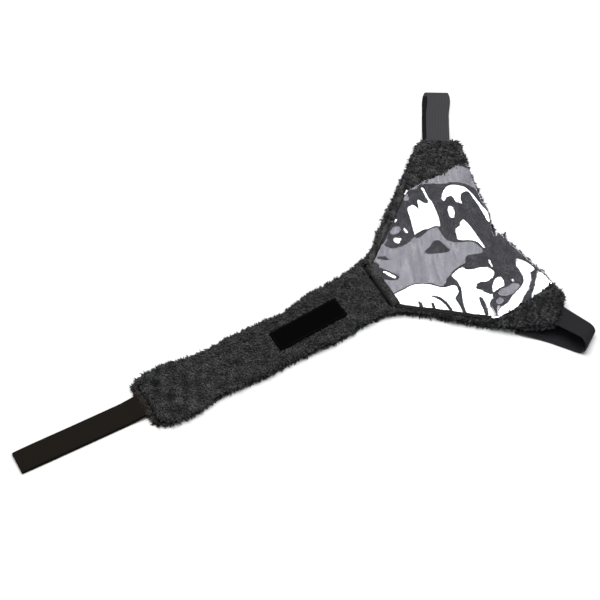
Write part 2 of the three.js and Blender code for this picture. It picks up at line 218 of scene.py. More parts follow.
# %% [markdown]
# ## Floor and light
# A product photograph on white: a large soft box overhead, white all round, and soft shadows
# only where the product touches the ground. A sun lamp would throw shadows with hard edges, so
# the floor is a pale plane and one large area light gives the light and the shadows.

# %% Floor and soft box
FLOOR_SIZE, FLOOR_DROP = 12, 0.0002
scene = bpy.context.scene
scene.view_settings.view_transform = "Standard"

bpy.ops.object.select_all(action="DESELECT")
bpy.ops.mesh.primitive_plane_add(size=FLOOR_SIZE, location=(0, 0, -FLOOR_DROP))
floor = bpy.context.object
floor.name = "floor"

KEY_SIZE = (2.6, 1.6)
KEY_DISTANCE = 2.6
KEY_TURN = CAMERA_TURN + math.radians(12)
KEY_ELEVATION = math.radians(76)
KEY_POWER = 78
key_data = bpy.data.lights.new("soft_box", "AREA")
key_data.shape = "RECTANGLE"
key_data.size, key_data.size_y = KEY_SIZE
key_data.energy = KEY_POWER
key = add_object("soft_box", key_data)
key.location = AIM + direction_at(KEY_TURN, KEY_ELEVATION) * KEY_DISTANCE
key.rotation_euler = (math.pi / 2 - KEY_ELEVATION, 0, math.pi - KEY_TURN)
key.visible_glossy = False
print("soft box at", [round(v, 2) for v in key.location])

# %% [markdown]
# ## What the vinyl mirrors
# Clear vinyl shows almost nothing but reflections. In the photograph it mirrors three things: a
# white soft box overhead, a grey wall low behind the table, and the dark gap between them. Rays
# that leave a glossy surface see those three here. Other rays see plain white, dimmed so that it
# only fills the shadows. Real panels round the product could be mirrored instead, but they would
# light it as well, and bands drawn in the world's shader don't.


# %% Node helpers
def feed(tree, socket, value):
    """Links a socket to another one, or gives it a plain value."""
    if isinstance(value, bpy.types.NodeSocket):
        tree.links.new(value, socket)
    else:
        socket.default_value = value


def node(tree, kind, inputs=None, **settings):
    made = tree.nodes.new(kind)
    for name, value in settings.items():
        setattr(made, name, value)
    for name, value in (inputs or {}).items():
        feed(tree, made.inputs[name], value)
    return made


def math_node(tree, operation, *values, clamp=False):
    made = node(tree, "ShaderNodeMath", operation=operation, use_clamp=clamp)
    for socket, value in zip(made.inputs, values):
        feed(tree, socket, value)
    return made.outputs[0]


def product(tree, first, second):
    """Two shares multiplied: both have to hold."""
    return math_node(tree, "MULTIPLY", first, second)


def opposite(tree, share):
    """What is left of 1."""
    return math_node(tree, "SUBTRACT", 1.0, share)


def between(tree, value, low, high):
    """1 where the value lies between the two others, and 0 elsewhere."""
    above = math_node(tree, "GREATER_THAN", value, low)
    return product(tree, above, math_node(tree, "LESS_THAN", value, high))


def dot_product(tree, vector, axis):
    both = {0: vector, 1: axis}
    return node(tree, "ShaderNodeVectorMath", both, operation="DOT_PRODUCT").outputs["Value"]


def noise(tree, place, scale, detail):
    inputs = {"Vector": place, "Scale": scale, "Detail": detail}
    return node(tree, "ShaderNodeTexNoise", inputs).outputs["Fac"]


def blend(tree, share, first, second):
    """A colour on the way from the first to the second."""
    inputs = {"Factor": share, "A": first, "B": second}
    return node(tree, "ShaderNodeMix", inputs, data_type="RGBA").outputs["Result"]


# %% World
# Angles over the horizon beyond the product, and strengths of light
MIRROR_MIDDLE = math.radians(56.5)
DARK_GAP = 0.029
WHITE_TOP, WHITE_HALF_WIDTH = math.radians(118), 0.72
GREY_FOOT = math.radians(4)
WHITE_LEVEL, GREY_LEVEL, DARK_LEVEL = 10.0, 1.55, 0.3
GREY_UNEVEN, GREY_PATCHES = 2.4, 30.0
FILL_LEVEL, SEEN_LEVEL = 0.3, 1.05
SEEN_THROUGH_BELOW = 0.07
MIRROR_TINT = (0.93, 0.91, 1.0, 1)

world = bpy.data.worlds.new("studio")
scene.world = world
world.use_nodes = True
tree = world.node_tree
tree.nodes.clear()
direction = node(tree, "ShaderNodeTexCoord").outputs["Generated"]
side_axis = Vector((math.cos(CAMERA_TURN), -math.sin(CAMERA_TURN), 0))
side = math_node(tree, "ABSOLUTE", dot_product(tree, direction, side_axis))
up = node(tree, "ShaderNodeSeparateXYZ", {0: direction}).outputs["Z"]
climb = math_node(tree, "ARCTAN2", up, dot_product(tree, direction, flat_away))
in_white = between(tree, climb, MIRROR_MIDDLE + 2 * DARK_GAP, WHITE_TOP)
in_white = product(tree, in_white, math_node(tree, "LESS_THAN", side, WHITE_HALF_WIDTH))
in_grey = between(tree, climb, GREY_FOOT, MIRROR_MIDDLE - 2 * DARK_GAP)
blotch = noise(tree, direction, GREY_PATCHES, 1.0)
grey = math_node(tree, "MULTIPLY_ADD", blotch, GREY_UNEVEN, GREY_LEVEL - GREY_UNEVEN / 2)
mirrored = math_node(tree, "MULTIPLY_ADD", in_white, WHITE_LEVEL, DARK_LEVEL)
mirrored = math_node(tree, "ADD", mirrored, product(tree, in_grey, grey))

paths = node(tree, "ShaderNodeLightPath").outputs
low = math_node(tree, "LESS_THAN", up, SEEN_THROUGH_BELOW)
through = product(tree, paths["Is Transmission Ray"], low)
seen = math_node(tree, "MAXIMUM", paths["Is Camera Ray"], through)
mirror = math_node(tree, "MAXIMUM", paths["Is Glossy Ray"], paths["Is Transmission Ray"])
glossy = product(tree, mirror, opposite(tree, seen))
plain = math_node(tree, "MULTIPLY_ADD", seen, SEEN_LEVEL - FILL_LEVEL, FILL_LEVEL)
strength = product(tree, plain, opposite(tree, glossy))
strength = math_node(tree, "ADD", strength, product(tree, glossy, mirrored))
tinted = product(tree, glossy, opposite(tree, in_white))
colour = blend(tree, tinted, (1, 1, 1, 1), MIRROR_TINT)
background = node(tree, "ShaderNodeBackground", {"Color": colour, "Strength": strength})
node(tree, "ShaderNodeOutputWorld", {"Surface": background.outputs[0]})
print("world nodes:", len(tree.nodes))

# %% [markdown]
# ## Materials
# Each effect that several materials share is a node group: the mottled colour of the pile, and
# the ribs of woven tape and webbing. Image textures could give both, but a pattern worked out
# from a place has no seam and needs no file. The shader itself stays in each material.


# %% Shared node groups
def new_group(name, inputs, outputs):
    group = bpy.data.node_groups.new(name, "ShaderNodeTree")
    for label, kind, value in inputs:
        socket = group.interface.new_socket(label, in_out="INPUT", socket_type=kind)
        if value is not None:
            socket.default_value = value
    for label, kind in outputs:
        group.interface.new_socket(label, in_out="OUTPUT", socket_type=kind)
    start = group.nodes.new("NodeGroupInput")
    end = group.nodes.new("NodeGroupOutput")
    return group, start.outputs, end.inputs


COLOR, FLOAT, VECTOR = "NodeSocketColor", "NodeSocketFloat", "NodeSocketVector"

# Patches of lighter and darker pile, and a fine grain on top
PATCH_WEIGHT, GRAIN_WEIGHT, SHADE_WEIGHT = 0.9, 0.35, 0.6
PATCH_START = -0.25
GRAIN_SCALE = 700.0
mottle, given, result = new_group(
    "pile_mottle",
    [("Dark", COLOR, (0.01, 0.01, 0.01, 1)), ("Light", COLOR, (0.06, 0.06, 0.06, 1)),
     ("Shade", FLOAT, 0.5), ("Patch Scale", FLOAT, 120.0)],
    [("Color", COLOR)],
)
spot = node(mottle, "ShaderNodeTexCoord").outputs["Object"]
patches = noise(mottle, spot, given["Patch Scale"], 3.0)
grain = noise(mottle, spot, GRAIN_SCALE, 1.0)
share = math_node(mottle, "MULTIPLY_ADD", patches, PATCH_WEIGHT, PATCH_START)
share = math_node(mottle, "MULTIPLY_ADD", grain, GRAIN_WEIGHT, share)
# The Shade input carries each tuft's random tone together with its painted shade.
share = math_node(mottle, "SUBTRACT", share, SHADE_WEIGHT / 2)
share = math_node(mottle, "MULTIPLY_ADD", given["Shade"], SHADE_WEIGHT, share, clamp=True)
mottle.links.new(blend(mottle, share, given["Dark"], given["Light"]), result["Color"])

# Ribs along a woven strip and picks across it, from a strip position in millimetres
weave, given, result = new_group(
    "strip_weave",
    [("Strip", VECTOR, None), ("Rib Pitch", FLOAT, 1.0),
     ("Pick Pitch", FLOAT, 0.7), ("Pick Share", FLOAT, 0.4)],
    [("Height", FLOAT), ("Mask", FLOAT)],
)
parts = node(weave, "ShaderNodeSeparateXYZ", {0: given["Strip"]}).outputs


def wave_of(place, pitch):
    turns = math_node(weave, "MULTIPLY", math_node(weave, "DIVIDE", place, pitch), 2 * math.pi)
    return math_node(weave, "MULTIPLY_ADD", math_node(weave, "SINE", turns), 0.5, 0.5)


rib = wave_of(parts["X"], given["Rib Pitch"])
pick = wave_of(parts["Y"], given["Pick Pitch"])
combined = math_node(weave, "MULTIPLY_ADD", pick, given["Pick Share"], rib)
weave.links.new(combined, result["Height"])
weave.links.new(rib, result["Mask"])
print("node groups:", [g.name for g in bpy.data.node_groups])


# %% Material helpers
def new_material(name, **values):
    material = bpy.data.materials.new(name)
    material.use_nodes = True
    tree = material.node_tree
    shader = tree.nodes["Principled BSDF"]
    for socket, value in values.items():
        shader.inputs[socket.replace("_", " ")].default_value = value
    return material, tree, shader


def place_group(tree, group, **values):
    placed = tree.nodes.new("ShaderNodeGroup")
    placed.node_tree = group
    for socket, value in values.items():
        feed(tree, placed.inputs[socket.replace("_", " ")], value)
    return placed.outputs


# %% Towelling: each tuft carries its own tone, with painted shade at the root and a painted highlight at the tip
PILE_PATCHES = 140.0
SHEEN = {"Sheen_Weight": 0.08, "Sheen_Roughness": 0.6, "Sheen_Tint": (0.8, 0.85, 0.9, 1)}


def towelling(name, dark, light):
    material, tree, shader = new_material(name, Roughness=1.0, Specular_IOR_Level=0.0, **SHEEN)
    tone_and_painted_shade = node(tree, "ShaderNodeAttribute", attribute_name="tone_and_painted_shade").outputs["Fac"]
    colour = place_group(tree, mottle, Dark=(*dark, 1), Light=(*light, 1), Shade=tone_and_painted_shade,
                         Patch_Scale=PILE_PATCHES)
    tree.links.new(colour["Color"], shader.inputs["Base Color"])
    return material


front_towelling = towelling("front_towelling", (0.0095, 0.0095, 0.0095), (0.112, 0.111, 0.111))
back_towelling = towelling("back_towelling", (0.009, 0.009, 0.0095), (0.104, 0.103, 0.108))
lap_towelling = towelling("lap_towelling", (0.011, 0.009, 0.0075), (0.092, 0.078, 0.068))


# %% Woven tape, webbing, label and thread
LOWER_RUN_START = 0.53
WEAVE_STRENGTH = 0.6


def woven(name, dark, light, rib, pick, pick_share=0.5, depth=0.0002, roughness=0.8,
          specular=0.0, painted_shade_below=None):
    """A colour for the lower run paints shade on a folded band where that run lies under the upper one."""
    material, tree, shader = new_material(name, Roughness=roughness, Specular_IOR_Level=specular)
    strip = node(tree, "ShaderNodeAttribute", attribute_name="strip").outputs["Vector"]
    pattern = place_group(tree, weave, Strip=strip, Rib_Pitch=rib, Pick_Pitch=pick,
                          Pick_Share=pick_share)
    colour = blend(tree, pattern["Mask"], (*dark, 1), (*light, 1))
    # painted shade on the lower run
    if painted_shade_below:
        far = node(tree, "ShaderNodeSeparateXYZ", {0: strip}).outputs["Z"]
        shaded_lower_run = math_node(tree, "GREATER_THAN", far, LOWER_RUN_START)
        colour = blend(tree, shaded_lower_run, colour, (*painted_shade_below, 1))
    tree.links.new(colour, shader.inputs["Base Color"])
    relief = {"Height": pattern["Height"], "Distance": depth, "Strength": WEAVE_STRENGTH}
    bump = node(tree, "ShaderNodeBump", relief)
    tree.links.new(bump.outputs["Normal"], shader.inputs["Normal"])
    return material


# The left loop's lower run is painted in shade.
bar_webbing = woven("bar_webbing", (0.043, 0.042, 0.046), (0.065, 0.063, 0.069), 1.7, 0.9,
                    painted_shade_below=(0.012, 0.012, 0.013))
# The right loop's elastic is the left loop's, painted darker as shade.
painted_shade_webbing = woven("painted_shade_webbing", (0.009, 0.009, 0.010), (0.024, 0.023, 0.026), 1.3, 0.9,
                     roughness=0.6, specular=0.02)
tail_webbing = woven("tail_webbing", (0.009, 0.0075, 0.006), (0.02, 0.0165, 0.0135), 1.3, 0.9)
binding_tape = woven("binding_tape", (0.012, 0.0118, 0.011), (0.036, 0.0355, 0.033), 1.6, 1.4,
                     pick_share=1.0, roughness=0.9)
label_cloth = woven("label_cloth", (0.0015, 0.0015, 0.0015), (0.003, 0.003, 0.003), 0.45, 0.45,
                    pick_share=0.4, depth=0.00005)
thread_material, _, _ = new_material("thread", Base_Color=(0.016, 0.016, 0.017, 1),
                                     Roughness=0.8, Specular_IOR_Level=0.01)
print("cloth materials:", [m.name for m in bpy.data.materials])


# %% [markdown]
# ## Clear vinyl
# Clear vinyl is a thin sheet that refracts hardly at all and mirrors strongly. Blender would let
# it throw the hard shadow of solid glass, so it turns transparent for shadow and diffuse rays.

# %% Clear vinyl and the floor
clear_film, tree, shader = new_material(
    "clear_film", Base_Color=(0.93, 0.94, 0.97, 1), Roughness=0.012, IOR=1.55,
    Transmission_Weight=1.0, Coat_Weight=1.0, Coat_Roughness=0.025, Coat_IOR=1.6,
)
paths = node(tree, "ShaderNodeLightPath").outputs
passing = math_node(tree, "MAXIMUM", paths["Is Shadow Ray"], paths["Is Diffuse Ray"])
clear = node(tree, "ShaderNodeBsdfTransparent", {"Color": (0.86, 0.87, 0.9, 1)})
mixed = node(tree, "ShaderNodeMixShader", {0: passing, 1: shader.outputs[0], 2: clear.outputs[0]})
tree.links.new(mixed.outputs[0], tree.nodes["Material Output"].inputs["Surface"])

floor_material, _, _ = new_material("pale_floor", Base_Color=(0.92, 0.92, 0.93, 1),
                                    Roughness=0.9, Specular_IOR_Level=0.0)
floor.data.materials.append(floor_material)


# %% [markdown]
# ## Helpers for meshes
# Most soft pieces are computed as arrays of points, so a few helpers turn arrays into meshes and
# hand each finished piece to the frame.


# %% Mesh helpers
def mesh_object(name, points, faces, material):
    """A new object from points in millimetres and lists of the points round each face."""
    data = bpy.data.meshes.new(name)
    data.from_pydata((np.asarray(points, float) * MM).tolist(), [], faces)
    data.materials.append(material)
    return add_object(name, data)


def unit(vectors):
    return vectors / np.linalg.norm(vectors, axis=-1, keepdims=True)


def distances_along(points):
    """How far each point lies from the first one, along the line."""
    steps = np.linalg.norm(np.diff(points, axis=0), axis=1)
    return np.concatenate([[0], np.cumsum(steps)])


def shade_smooth(piece):
    piece.data.polygons.foreach_set("use_smooth", [True] * len(piece.data.polygons))
    piece.data.update()


def select_only(piece):
    bpy.ops.object.select_all(action="DESELECT")
    piece.select_set(True)
    bpy.context.view_layer.objects.active = piece


def edit_whole(piece, operator, **options):
    """Runs one operator of edit mode on all of the piece."""
    select_only(piece)
    bpy.ops.object.mode_set(mode="EDIT")
    bpy.ops.mesh.select_all(action="SELECT")
    operator(**options)
    bpy.ops.object.mode_set(mode="OBJECT")


def apply_modifiers(piece):
    select_only(piece)
    for modifier in list(piece.modifiers):
        bpy.ops.object.modifier_apply(modifier=modifier.name)


def give_tone_and_painted_shade(piece, tones_and_painted_shades):
    """The towelling's material reads this tone, with its painted shade, at each point."""
    attribute = piece.data.attributes.new("tone_and_painted_shade", "FLOAT", "POINT")
    attribute.data.foreach_set("value", tones_and_painted_shades)


def hand_over(piece, slot_name, *nodes):
    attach(piece, "root")
    if nodes:
        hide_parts(*nodes)
    print(piece.name, len(piece.data.polygons), "faces")


# %% [markdown]
# ## Towelling
# Towelling is a ground cloth covered in loops of yarn. The ground could be sculpted, but a copy
# of the solid, remeshed to an even skin and dented a little, already has the right outline, and
# the light breaks up on it.


# %% The ground cloth of a panel
GRID, DENT_SIZE, DENT_DEPTH = 0.002, 0.007, 0.0014


def points_of(piece):
    flat = np.empty(len(piece.data.vertices) * 3)
    piece.data.vertices.foreach_get("co", flat)
    normals = np.empty(len(piece.data.vertices) * 3)
    piece.data.vertices.foreach_get("normal", normals)
    return flat.reshape(-1, 3) / MM, normals.reshape(-1, 3)


def ground_cloth(node_name, piece_name, material):
    data = frame["nodes"][node_name].data.copy()
    data.materials.clear()
    data.materials.append(material)
    piece = add_object(piece_name, data)
    edit_whole(piece, bpy.ops.mesh.remove_doubles, threshold=0.00001)
    remesh = piece.modifiers.new("even", "REMESH")
    remesh.mode = "VOXEL"
    remesh.voxel_size = GRID
    soften = piece.modifiers.new("soften", "SMOOTH")
    soften.factor, soften.iterations = 0.5, 3
    clouds = bpy.data.textures.new(piece_name + "_dents", "CLOUDS")
    clouds.noise_scale = DENT_SIZE
    dents = piece.modifiers.new("dents", "DISPLACE")
    dents.texture = clouds
    dents.texture_coords = "LOCAL"
    dents.strength, dents.mid_level = DENT_DEPTH, 0.6
    apply_modifiers(piece)
    return piece


# At the neck's upper side the cloth is fuller than its cut
NECK_FULLNESS = np.array([-1.2, 5.4])
FULL_FROM_TAIL, FULL_FROM_HEAD, FULL_FROM_MIDDLE = (-20, 30), (175, 105), (6, 24)
FULL_EDGE, ROOM_EDGE = 6.0, 1.5
LOWEST_CLOTH = 0.05


def make_room_for_pile(piece, edge_room, top_room):
    """The solid's surface is where the pile ends, so the ground cloth steps back from it."""
    points, normals = points_of(piece)
    inner, station = inside_tape(*flat_plan(points[:, 0], points[:, 1]))
    points[:, 0] -= drawn_back(station, points[:, 1], HIDDEN_Y, HIDDEN_PULL)
    beyond_tape = -TAPE_WIDTH - inner
    neck = ramp(points[:, 0], *FULL_FROM_TAIL) * ramp(points[:, 0], *FULL_FROM_HEAD)
    neck *= ramp(points[:, 1], *FULL_FROM_MIDDLE) * ramp(beyond_tape, 0, FULL_EDGE)
    points[:, :2] += neck[:, None] * NECK_FULLNESS
    outer_edge = ramp(beyond_tape, ROOM_EDGE, 2 * ROOM_EDGE)
    points[:, :2] -= normals[:, :2] * (edge_room * outer_edge)[:, None]
    lowered = points[:, 2] - np.maximum(normals[:, 2], 0) * top_room
    points[:, 2] = np.maximum(lowered, LOWEST_CLOTH)
    piece.data.vertices.foreach_set("co", (points * MM).reshape(-1))
    shade_smooth(piece)


front = ground_cloth("front_panel", "front_towelling_cloth", front_towelling)
back = ground_cloth("back_panel", "back_towelling_cloth", back_towelling)
make_room_for_pile(front, edge_room=2.4, top_room=1.2)
make_room_for_pile(back, edge_room=2.0, top_room=0.9)
print("ground cloth:", len(front.data.vertices), "and", len(back.data.vertices), "points")

# %% [markdown]
# ## The pile
# Blender's hair could make the pile, but it isn't a mesh, and each piece has to be one. So each
# tuft is a small bent spike: a ring of three points at the root, another at the bend, and a tip.
# Thousands of them are placed at random on the ground cloth, leaning their own ways. They are
# longer at the edges, where nothing presses them down.


# %% Random places on a mesh
def places_on(piece, keep, density, seed):
    """Random points and normals on the faces that keep() allows, so many to a square millimetre."""
    data = piece.data
    data.calc_loop_triangles()
    count = len(data.loop_triangles)
    corners = np.empty(count * 3, np.int64)
    data.loop_triangles.foreach_get("vertices", corners)
    corners = corners.reshape(-1, 3)
    points, normals = points_of(piece)
    triangles = points[corners]
    sides = triangles[:, 1:] - triangles[:, :1]
    area = np.linalg.norm(np.cross(sides[:, 0], sides[:, 1]), axis=1) / 2
    rng = np.random.default_rng(seed)
    number = int(area.sum() * density)
    chosen = rng.choice(count, number, p=area / area.sum())
    a, b = rng.random((2, number, 1))
    flip = (a + b) > 1
    a, b = np.where(flip, 1 - a, a), np.where(flip, 1 - b, b)
    weights = np.concatenate([1 - a - b, a, b], axis=1)[:, :, None]
    spots = (triangles[chosen] * weights).sum(axis=1)
    leaning = unit((normals[corners][chosen] * weights).sum(axis=1))
    kept = keep(spots, leaning)
    return spots[kept], leaning[kept], rng


# %% Which way the pile leans: neighbours lean alike, in patches about a centimetre wide
FIELD_WAVES, FIELD_SPREAD, ANY_START = 14, 2.6, 6.3


def lean_field(spots, seed, shortest=9, longest=26):
    """A sum of random waves. Their lengths are in millimetres."""
    rng = np.random.default_rng(seed)
    field = np.zeros((len(spots), 3))
    for _ in range(FIELD_WAVES):
        wave = rng.normal(size=3)
        wave *= 2 * math.pi / rng.uniform(shortest, longest) / np.linalg.norm(wave)
        field += np.sin(spots @ wave + rng.uniform(0, ANY_START))[:, None] * rng.normal(size=3)
    return field / FIELD_SPREAD


# %% Tufts from places
# The pile stands in clumps, larger on the head's border and at the tail than on the strap
SHAGGY_HEAD, SHAGGY_TAIL = (60, 120), (-120, -170)
LONG_CLUMPS, SHORT_CLUMPS, SHORT_SHARE = (2.0, 4.6), (1.5, 2.9), 0.85
CLUMP_LENGTH, CLUMP_LIMIT, CLUMP_TONE = 0.22, 1.5, 0.28
TUFT_WIDTH, WIDTH_RANGE, BEND_WIDTH = 0.8, (0.6, 1.35), 0.85
TUFT_LEAN, LEAN_RANGE, STRAY, BEND = 0.8, (0.3, 1.0), 0.9, 0.45
ROOT_DEPTH, LOWEST_TUFT = 0.6, 0.02
TONE_RANGE, PATCH_TONE = (0.18, 0.88), 0.19
# Painted shade darkens each tuft's root and a painted highlight lightens its tip
PAINTED_ROOT_SHADE, PAINTED_TIP_HIGHLIGHT = -0.35, 0.3
TUFT_FACES = [(0, 1, 4), (0, 4, 3), (1, 2, 5), (1, 5, 4), (2, 0, 3), (2, 3, 5),
              (3, 4, 6), (4, 5, 6), (5, 3, 6), (0, 2, 1)]
TUFT_POINTS = 7


def tufts(name, spots, normals, lengths, rng, material, painted_shade_and_tone=0.0):
    """Bent three-sided spikes, one to each place, in one mesh."""
    number = len(spots)
    shaggy = ramp(spots[:, 0], *SHAGGY_HEAD) + ramp(spots[:, 0], *SHAGGY_TAIL)
    clump = shaggy * lean_field(spots, 17, *LONG_CLUMPS)[:, 0]
    clump += SHORT_SHARE * (1 - shaggy) * lean_field(spots, 19, *SHORT_CLUMPS)[:, 0]
    lengths = lengths * (1 + CLUMP_LENGTH * np.clip(clump, -CLUMP_LIMIT, CLUMP_LIMIT))
    wander = lean_field(spots, 5) + STRAY * rng.normal(size=(number, 3))
    wander -= (wander * normals).sum(axis=1, keepdims=True) * normals
    along = unit(normals + TUFT_LEAN * wander * rng.uniform(*LEAN_RANGE, (number, 1)))
    bent = unit(along + BEND * rng.normal(size=(number, 3)))
    first = unit(np.cross(along, wander))
    second = np.cross(along, first)
    half = lengths[:, None] / 2
    middle = spots + along * half
    size = TUFT_WIDTH * rng.uniform(*WIDTH_RANGE, (number, 1))
    rings = []
    for centre, radius in ((spots - along * ROOT_DEPTH, 1.0), (middle, BEND_WIDTH)):
        for k in range(3):
            a = 2 * math.pi * k / 3
            rings.append(centre + size * radius * (math.cos(a) * first + math.sin(a) * second))
    points = np.stack([*rings, middle + bent * half], axis=1)
    points[:, :, 2] = np.maximum(points[:, :, 2], LOWEST_TUFT)
    starts = np.arange(number)[:, None, None] * TUFT_POINTS
    faces = (starts + np.array(TUFT_FACES)).reshape(-1, 3)
    piece = mesh_object(name, points.reshape(-1, 3), faces.tolist(), material)
    tuft_tone_with_painted_shade = rng.uniform(*TONE_RANGE, number) + PATCH_TONE * lean_field(spots, 8)[:, 0]
    # The darkening given adds painted shade, and in places random tone
    tuft_tone_with_painted_shade = tuft_tone_with_painted_shade + CLUMP_TONE * clump - painted_shade_and_tone
    # painted shade at the root, a painted highlight at the tip
    painted_shade_from_root = np.array([PAINTED_ROOT_SHADE] * 3 + [0] * 3 + [PAINTED_TIP_HIGHLIGHT])
    give_tone_and_painted_shade(piece, (tuft_tone_with_painted_shade[:, None] + painted_shade_from_root).reshape(-1))
    shade_smooth(piece)
    return piece


# %% Where the front panel has pile: everywhere but under the label and on its underside
def under_label(spots, margin):
    laid = lay_out(LABEL_X, 0.0)
    x, y = spots[:, 0] - laid[0], spots[:, 1] - laid[1]
    along = x * math.cos(LABEL_TURN) + y * math.sin(LABEL_TURN)
    across = y * math.cos(LABEL_TURN) - x * math.sin(LABEL_TURN)
    return (np.abs(along) < LABEL_LENGTH / 2 + margin) & (np.abs(across) < LABEL_WIDTH / 2 + margin)


def window_distance(spots):
    """How far a point lies inside the tape, in millimetres."""
    return inside_tape(*flat_plan(spots[:, 0], spots[:, 1]))[0]


UNDERSIDE, LABEL_MARGIN = -0.5, 0.6


def front_keep(spots, normals):
    return (normals[:, 2] > UNDERSIDE) & ~under_label(spots, LABEL_MARGIN)


# %% The front pile: pressed and given painted shade at the neck's tape and at the tail, and painted shade on the right ear
PILE_DENSITY = 0.62
LENGTH_RANGE = (0.6, 1.4)
FRONT_LENGTH, FRONT_EDGE_LENGTH, EAR_EDGE_LENGTH = 2.3, 0.8, 0.5
NEAR_TAPE, NECK_STRIP_WIDTH = 4.0, 2.4
RIGHT_TAPE_LOW, RIGHT_TAPE_HIGH = -84, 5
SHORTER_AT_TAPE, SHORTER_AT_NECK, SHORTER_AT_TAIL = 0.5, 0.55, 0.6
# Painted shade in the groove along the neck's tape, at the tail's seam and on the lifted right ear; the
# ear's patches are random tone.
PAINTED_SHADE_AT_NECK, PAINTED_SHADE_AT_TAIL, PAINTED_SHADE_RIGHT_EAR, EAR_PATCH_TONE = 0.5, 0.55, 0.2, 0.28
spots, normals, rng = places_on(front, front_keep, PILE_DENSITY, seed=11)
edge = 1 - np.abs(normals[:, 2])
near_tape = smooth(1 - np.abs(window_distance(spots) + TAPE_WIDTH) / NEAR_TAPE)
near_tape = near_tape * (spots[:, 1] < RIGHT_TAPE_HIGH) * (spots[:, 1] > RIGHT_TAPE_LOW)
on_ear = ramp(spots[:, 0], 80, 140)
at_neck = smooth(1.6 - np.abs(spots[:, 0] - POCKET_NECK_X + 1) / NECK_STRIP_WIDTH)
at_neck = at_neck * (np.abs(spots[:, 1]) < POCKET_NECK_WIDTH / 2 - 1)
at_tail = ramp(spots[:, 0], STRAP_TAIL_X + 5.5, STRAP_TAIL_X + 3)
lengths = FRONT_LENGTH + (FRONT_EDGE_LENGTH + EAR_EDGE_LENGTH * on_ear) * edge
lengths = lengths * rng.uniform(*LENGTH_RANGE, len(spots))
lengths *= (1 - SHORTER_AT_TAPE * near_tape) * (1 - SHORTER_AT_NECK * at_neck)
lengths *= 1 - SHORTER_AT_TAIL * at_tail
painted_shade_and_tone = PAINTED_SHADE_AT_NECK * at_neck + PAINTED_SHADE_AT_TAIL * at_tail
painted_shade_and_tone += PAINTED_SHADE_RIGHT_EAR * on_ear * (spots[:, 1] < 0)
painted_shade_and_tone += EAR_PATCH_TONE * on_ear * lean_field(spots, 29, 3, 7)[:, 0]
half = len(spots) // 2
piles = []
for name, part in (("front_pile_a", slice(0, half)), ("front_pile_b", slice(half, None))):
    piles.append(tufts(name, spots[part], normals[part], lengths[part], rng,
                       front_towelling, painted_shade_and_tone[part]))
print("front tufts:", len(spots))


# %% Where the back panel has pile: round its edge, behind the film and on the tail's lap
SIDEWAYS, RAISED, LAP_END = 0.75, 3, 3


def back_keep(spots, normals):
    side = np.abs(normals[:, 2]) < SIDEWAYS
    in_view = (window_distance(spots) > -1) | (spots[:, 0] < STRAP_TAIL_X + LAP_END + 1)
    raised = lift(*flat_plan(spots[:, 0], spots[:, 1])) > RAISED
    return side | (normals[:, 2] > 0) & in_view | (normals[:, 2] < 0) & raised


BACK_LENGTH, BACK_EDGE_LENGTH, PRESSED = 2.2, 1.4, 0.6
spots, normals, rng = places_on(back, back_keep, PILE_DENSITY, seed=23)
behind_film = window_distance(spots) > -2
edge = 1 - np.abs(normals[:, 2])
lengths = (BACK_LENGTH + BACK_EDGE_LENGTH * edge) * rng.uniform(*LENGTH_RANGE, len(spots))
lengths = lengths * np.where(behind_film & (edge < 0.5), PRESSED, 1)
lap = spots[:, 0] < STRAP_TAIL_X + LAP_END
back_pile = tufts("back_pile", spots[~lap], normals[~lap], lengths[~lap], rng, back_towelling)
print("back tufts:", len(spots))

# %% The tail's lap: its pile leans out over the webbing
LAP_TUFTS, LAP_LENGTH = 260, (1.6, 3.2)
LAP_X, LAP_Y = (-191.5, -185.5), (-15, 15)
LAP_Z, LAP_SLOPE = 6.5, 0.18
LAP_LEAN = np.array([[-0.5, 0, 0.866]])
over = np.stack([rng.uniform(*LAP_X, LAP_TUFTS), rng.uniform(*LAP_Y, LAP_TUFTS)])
over_z = LAP_Z + LAP_SLOPE * (over[0] - STRAP_TAIL_X - 1.5)
over_webbing = np.stack([*lay_out(*over), over_z], axis=1)
lap_spots = np.concatenate([spots[lap], over_webbing])
lap_normals = np.concatenate([normals[lap], np.repeat(LAP_LEAN, LAP_TUFTS, axis=0)])
lap_lengths = np.concatenate([lengths[lap], rng.uniform(*LAP_LENGTH, LAP_TUFTS)])
lap_pile = tufts("lap_pile", lap_spots, lap_normals, lap_lengths, rng, lap_towelling, painted_shade_and_tone=0.05)

# %% Hand over the towelling
# The ground cloth between the tufts is painted in shade, as dark as the tufts' roots.
PAINTED_GROUND_SHADE = 0.15
for ground in (front, back):
    give_tone_and_painted_shade(ground, np.full(len(ground.data.vertices), PAINTED_GROUND_SHADE))
hand_over(front, "front_towelling", "front_panel")
hand_over(back, "back_towelling", "back_panel")
for pile in piles:
    hand_over(pile, "front_towelling")
for pile in (back_pile, lap_pile):
    hand_over(pile, "back_towelling")
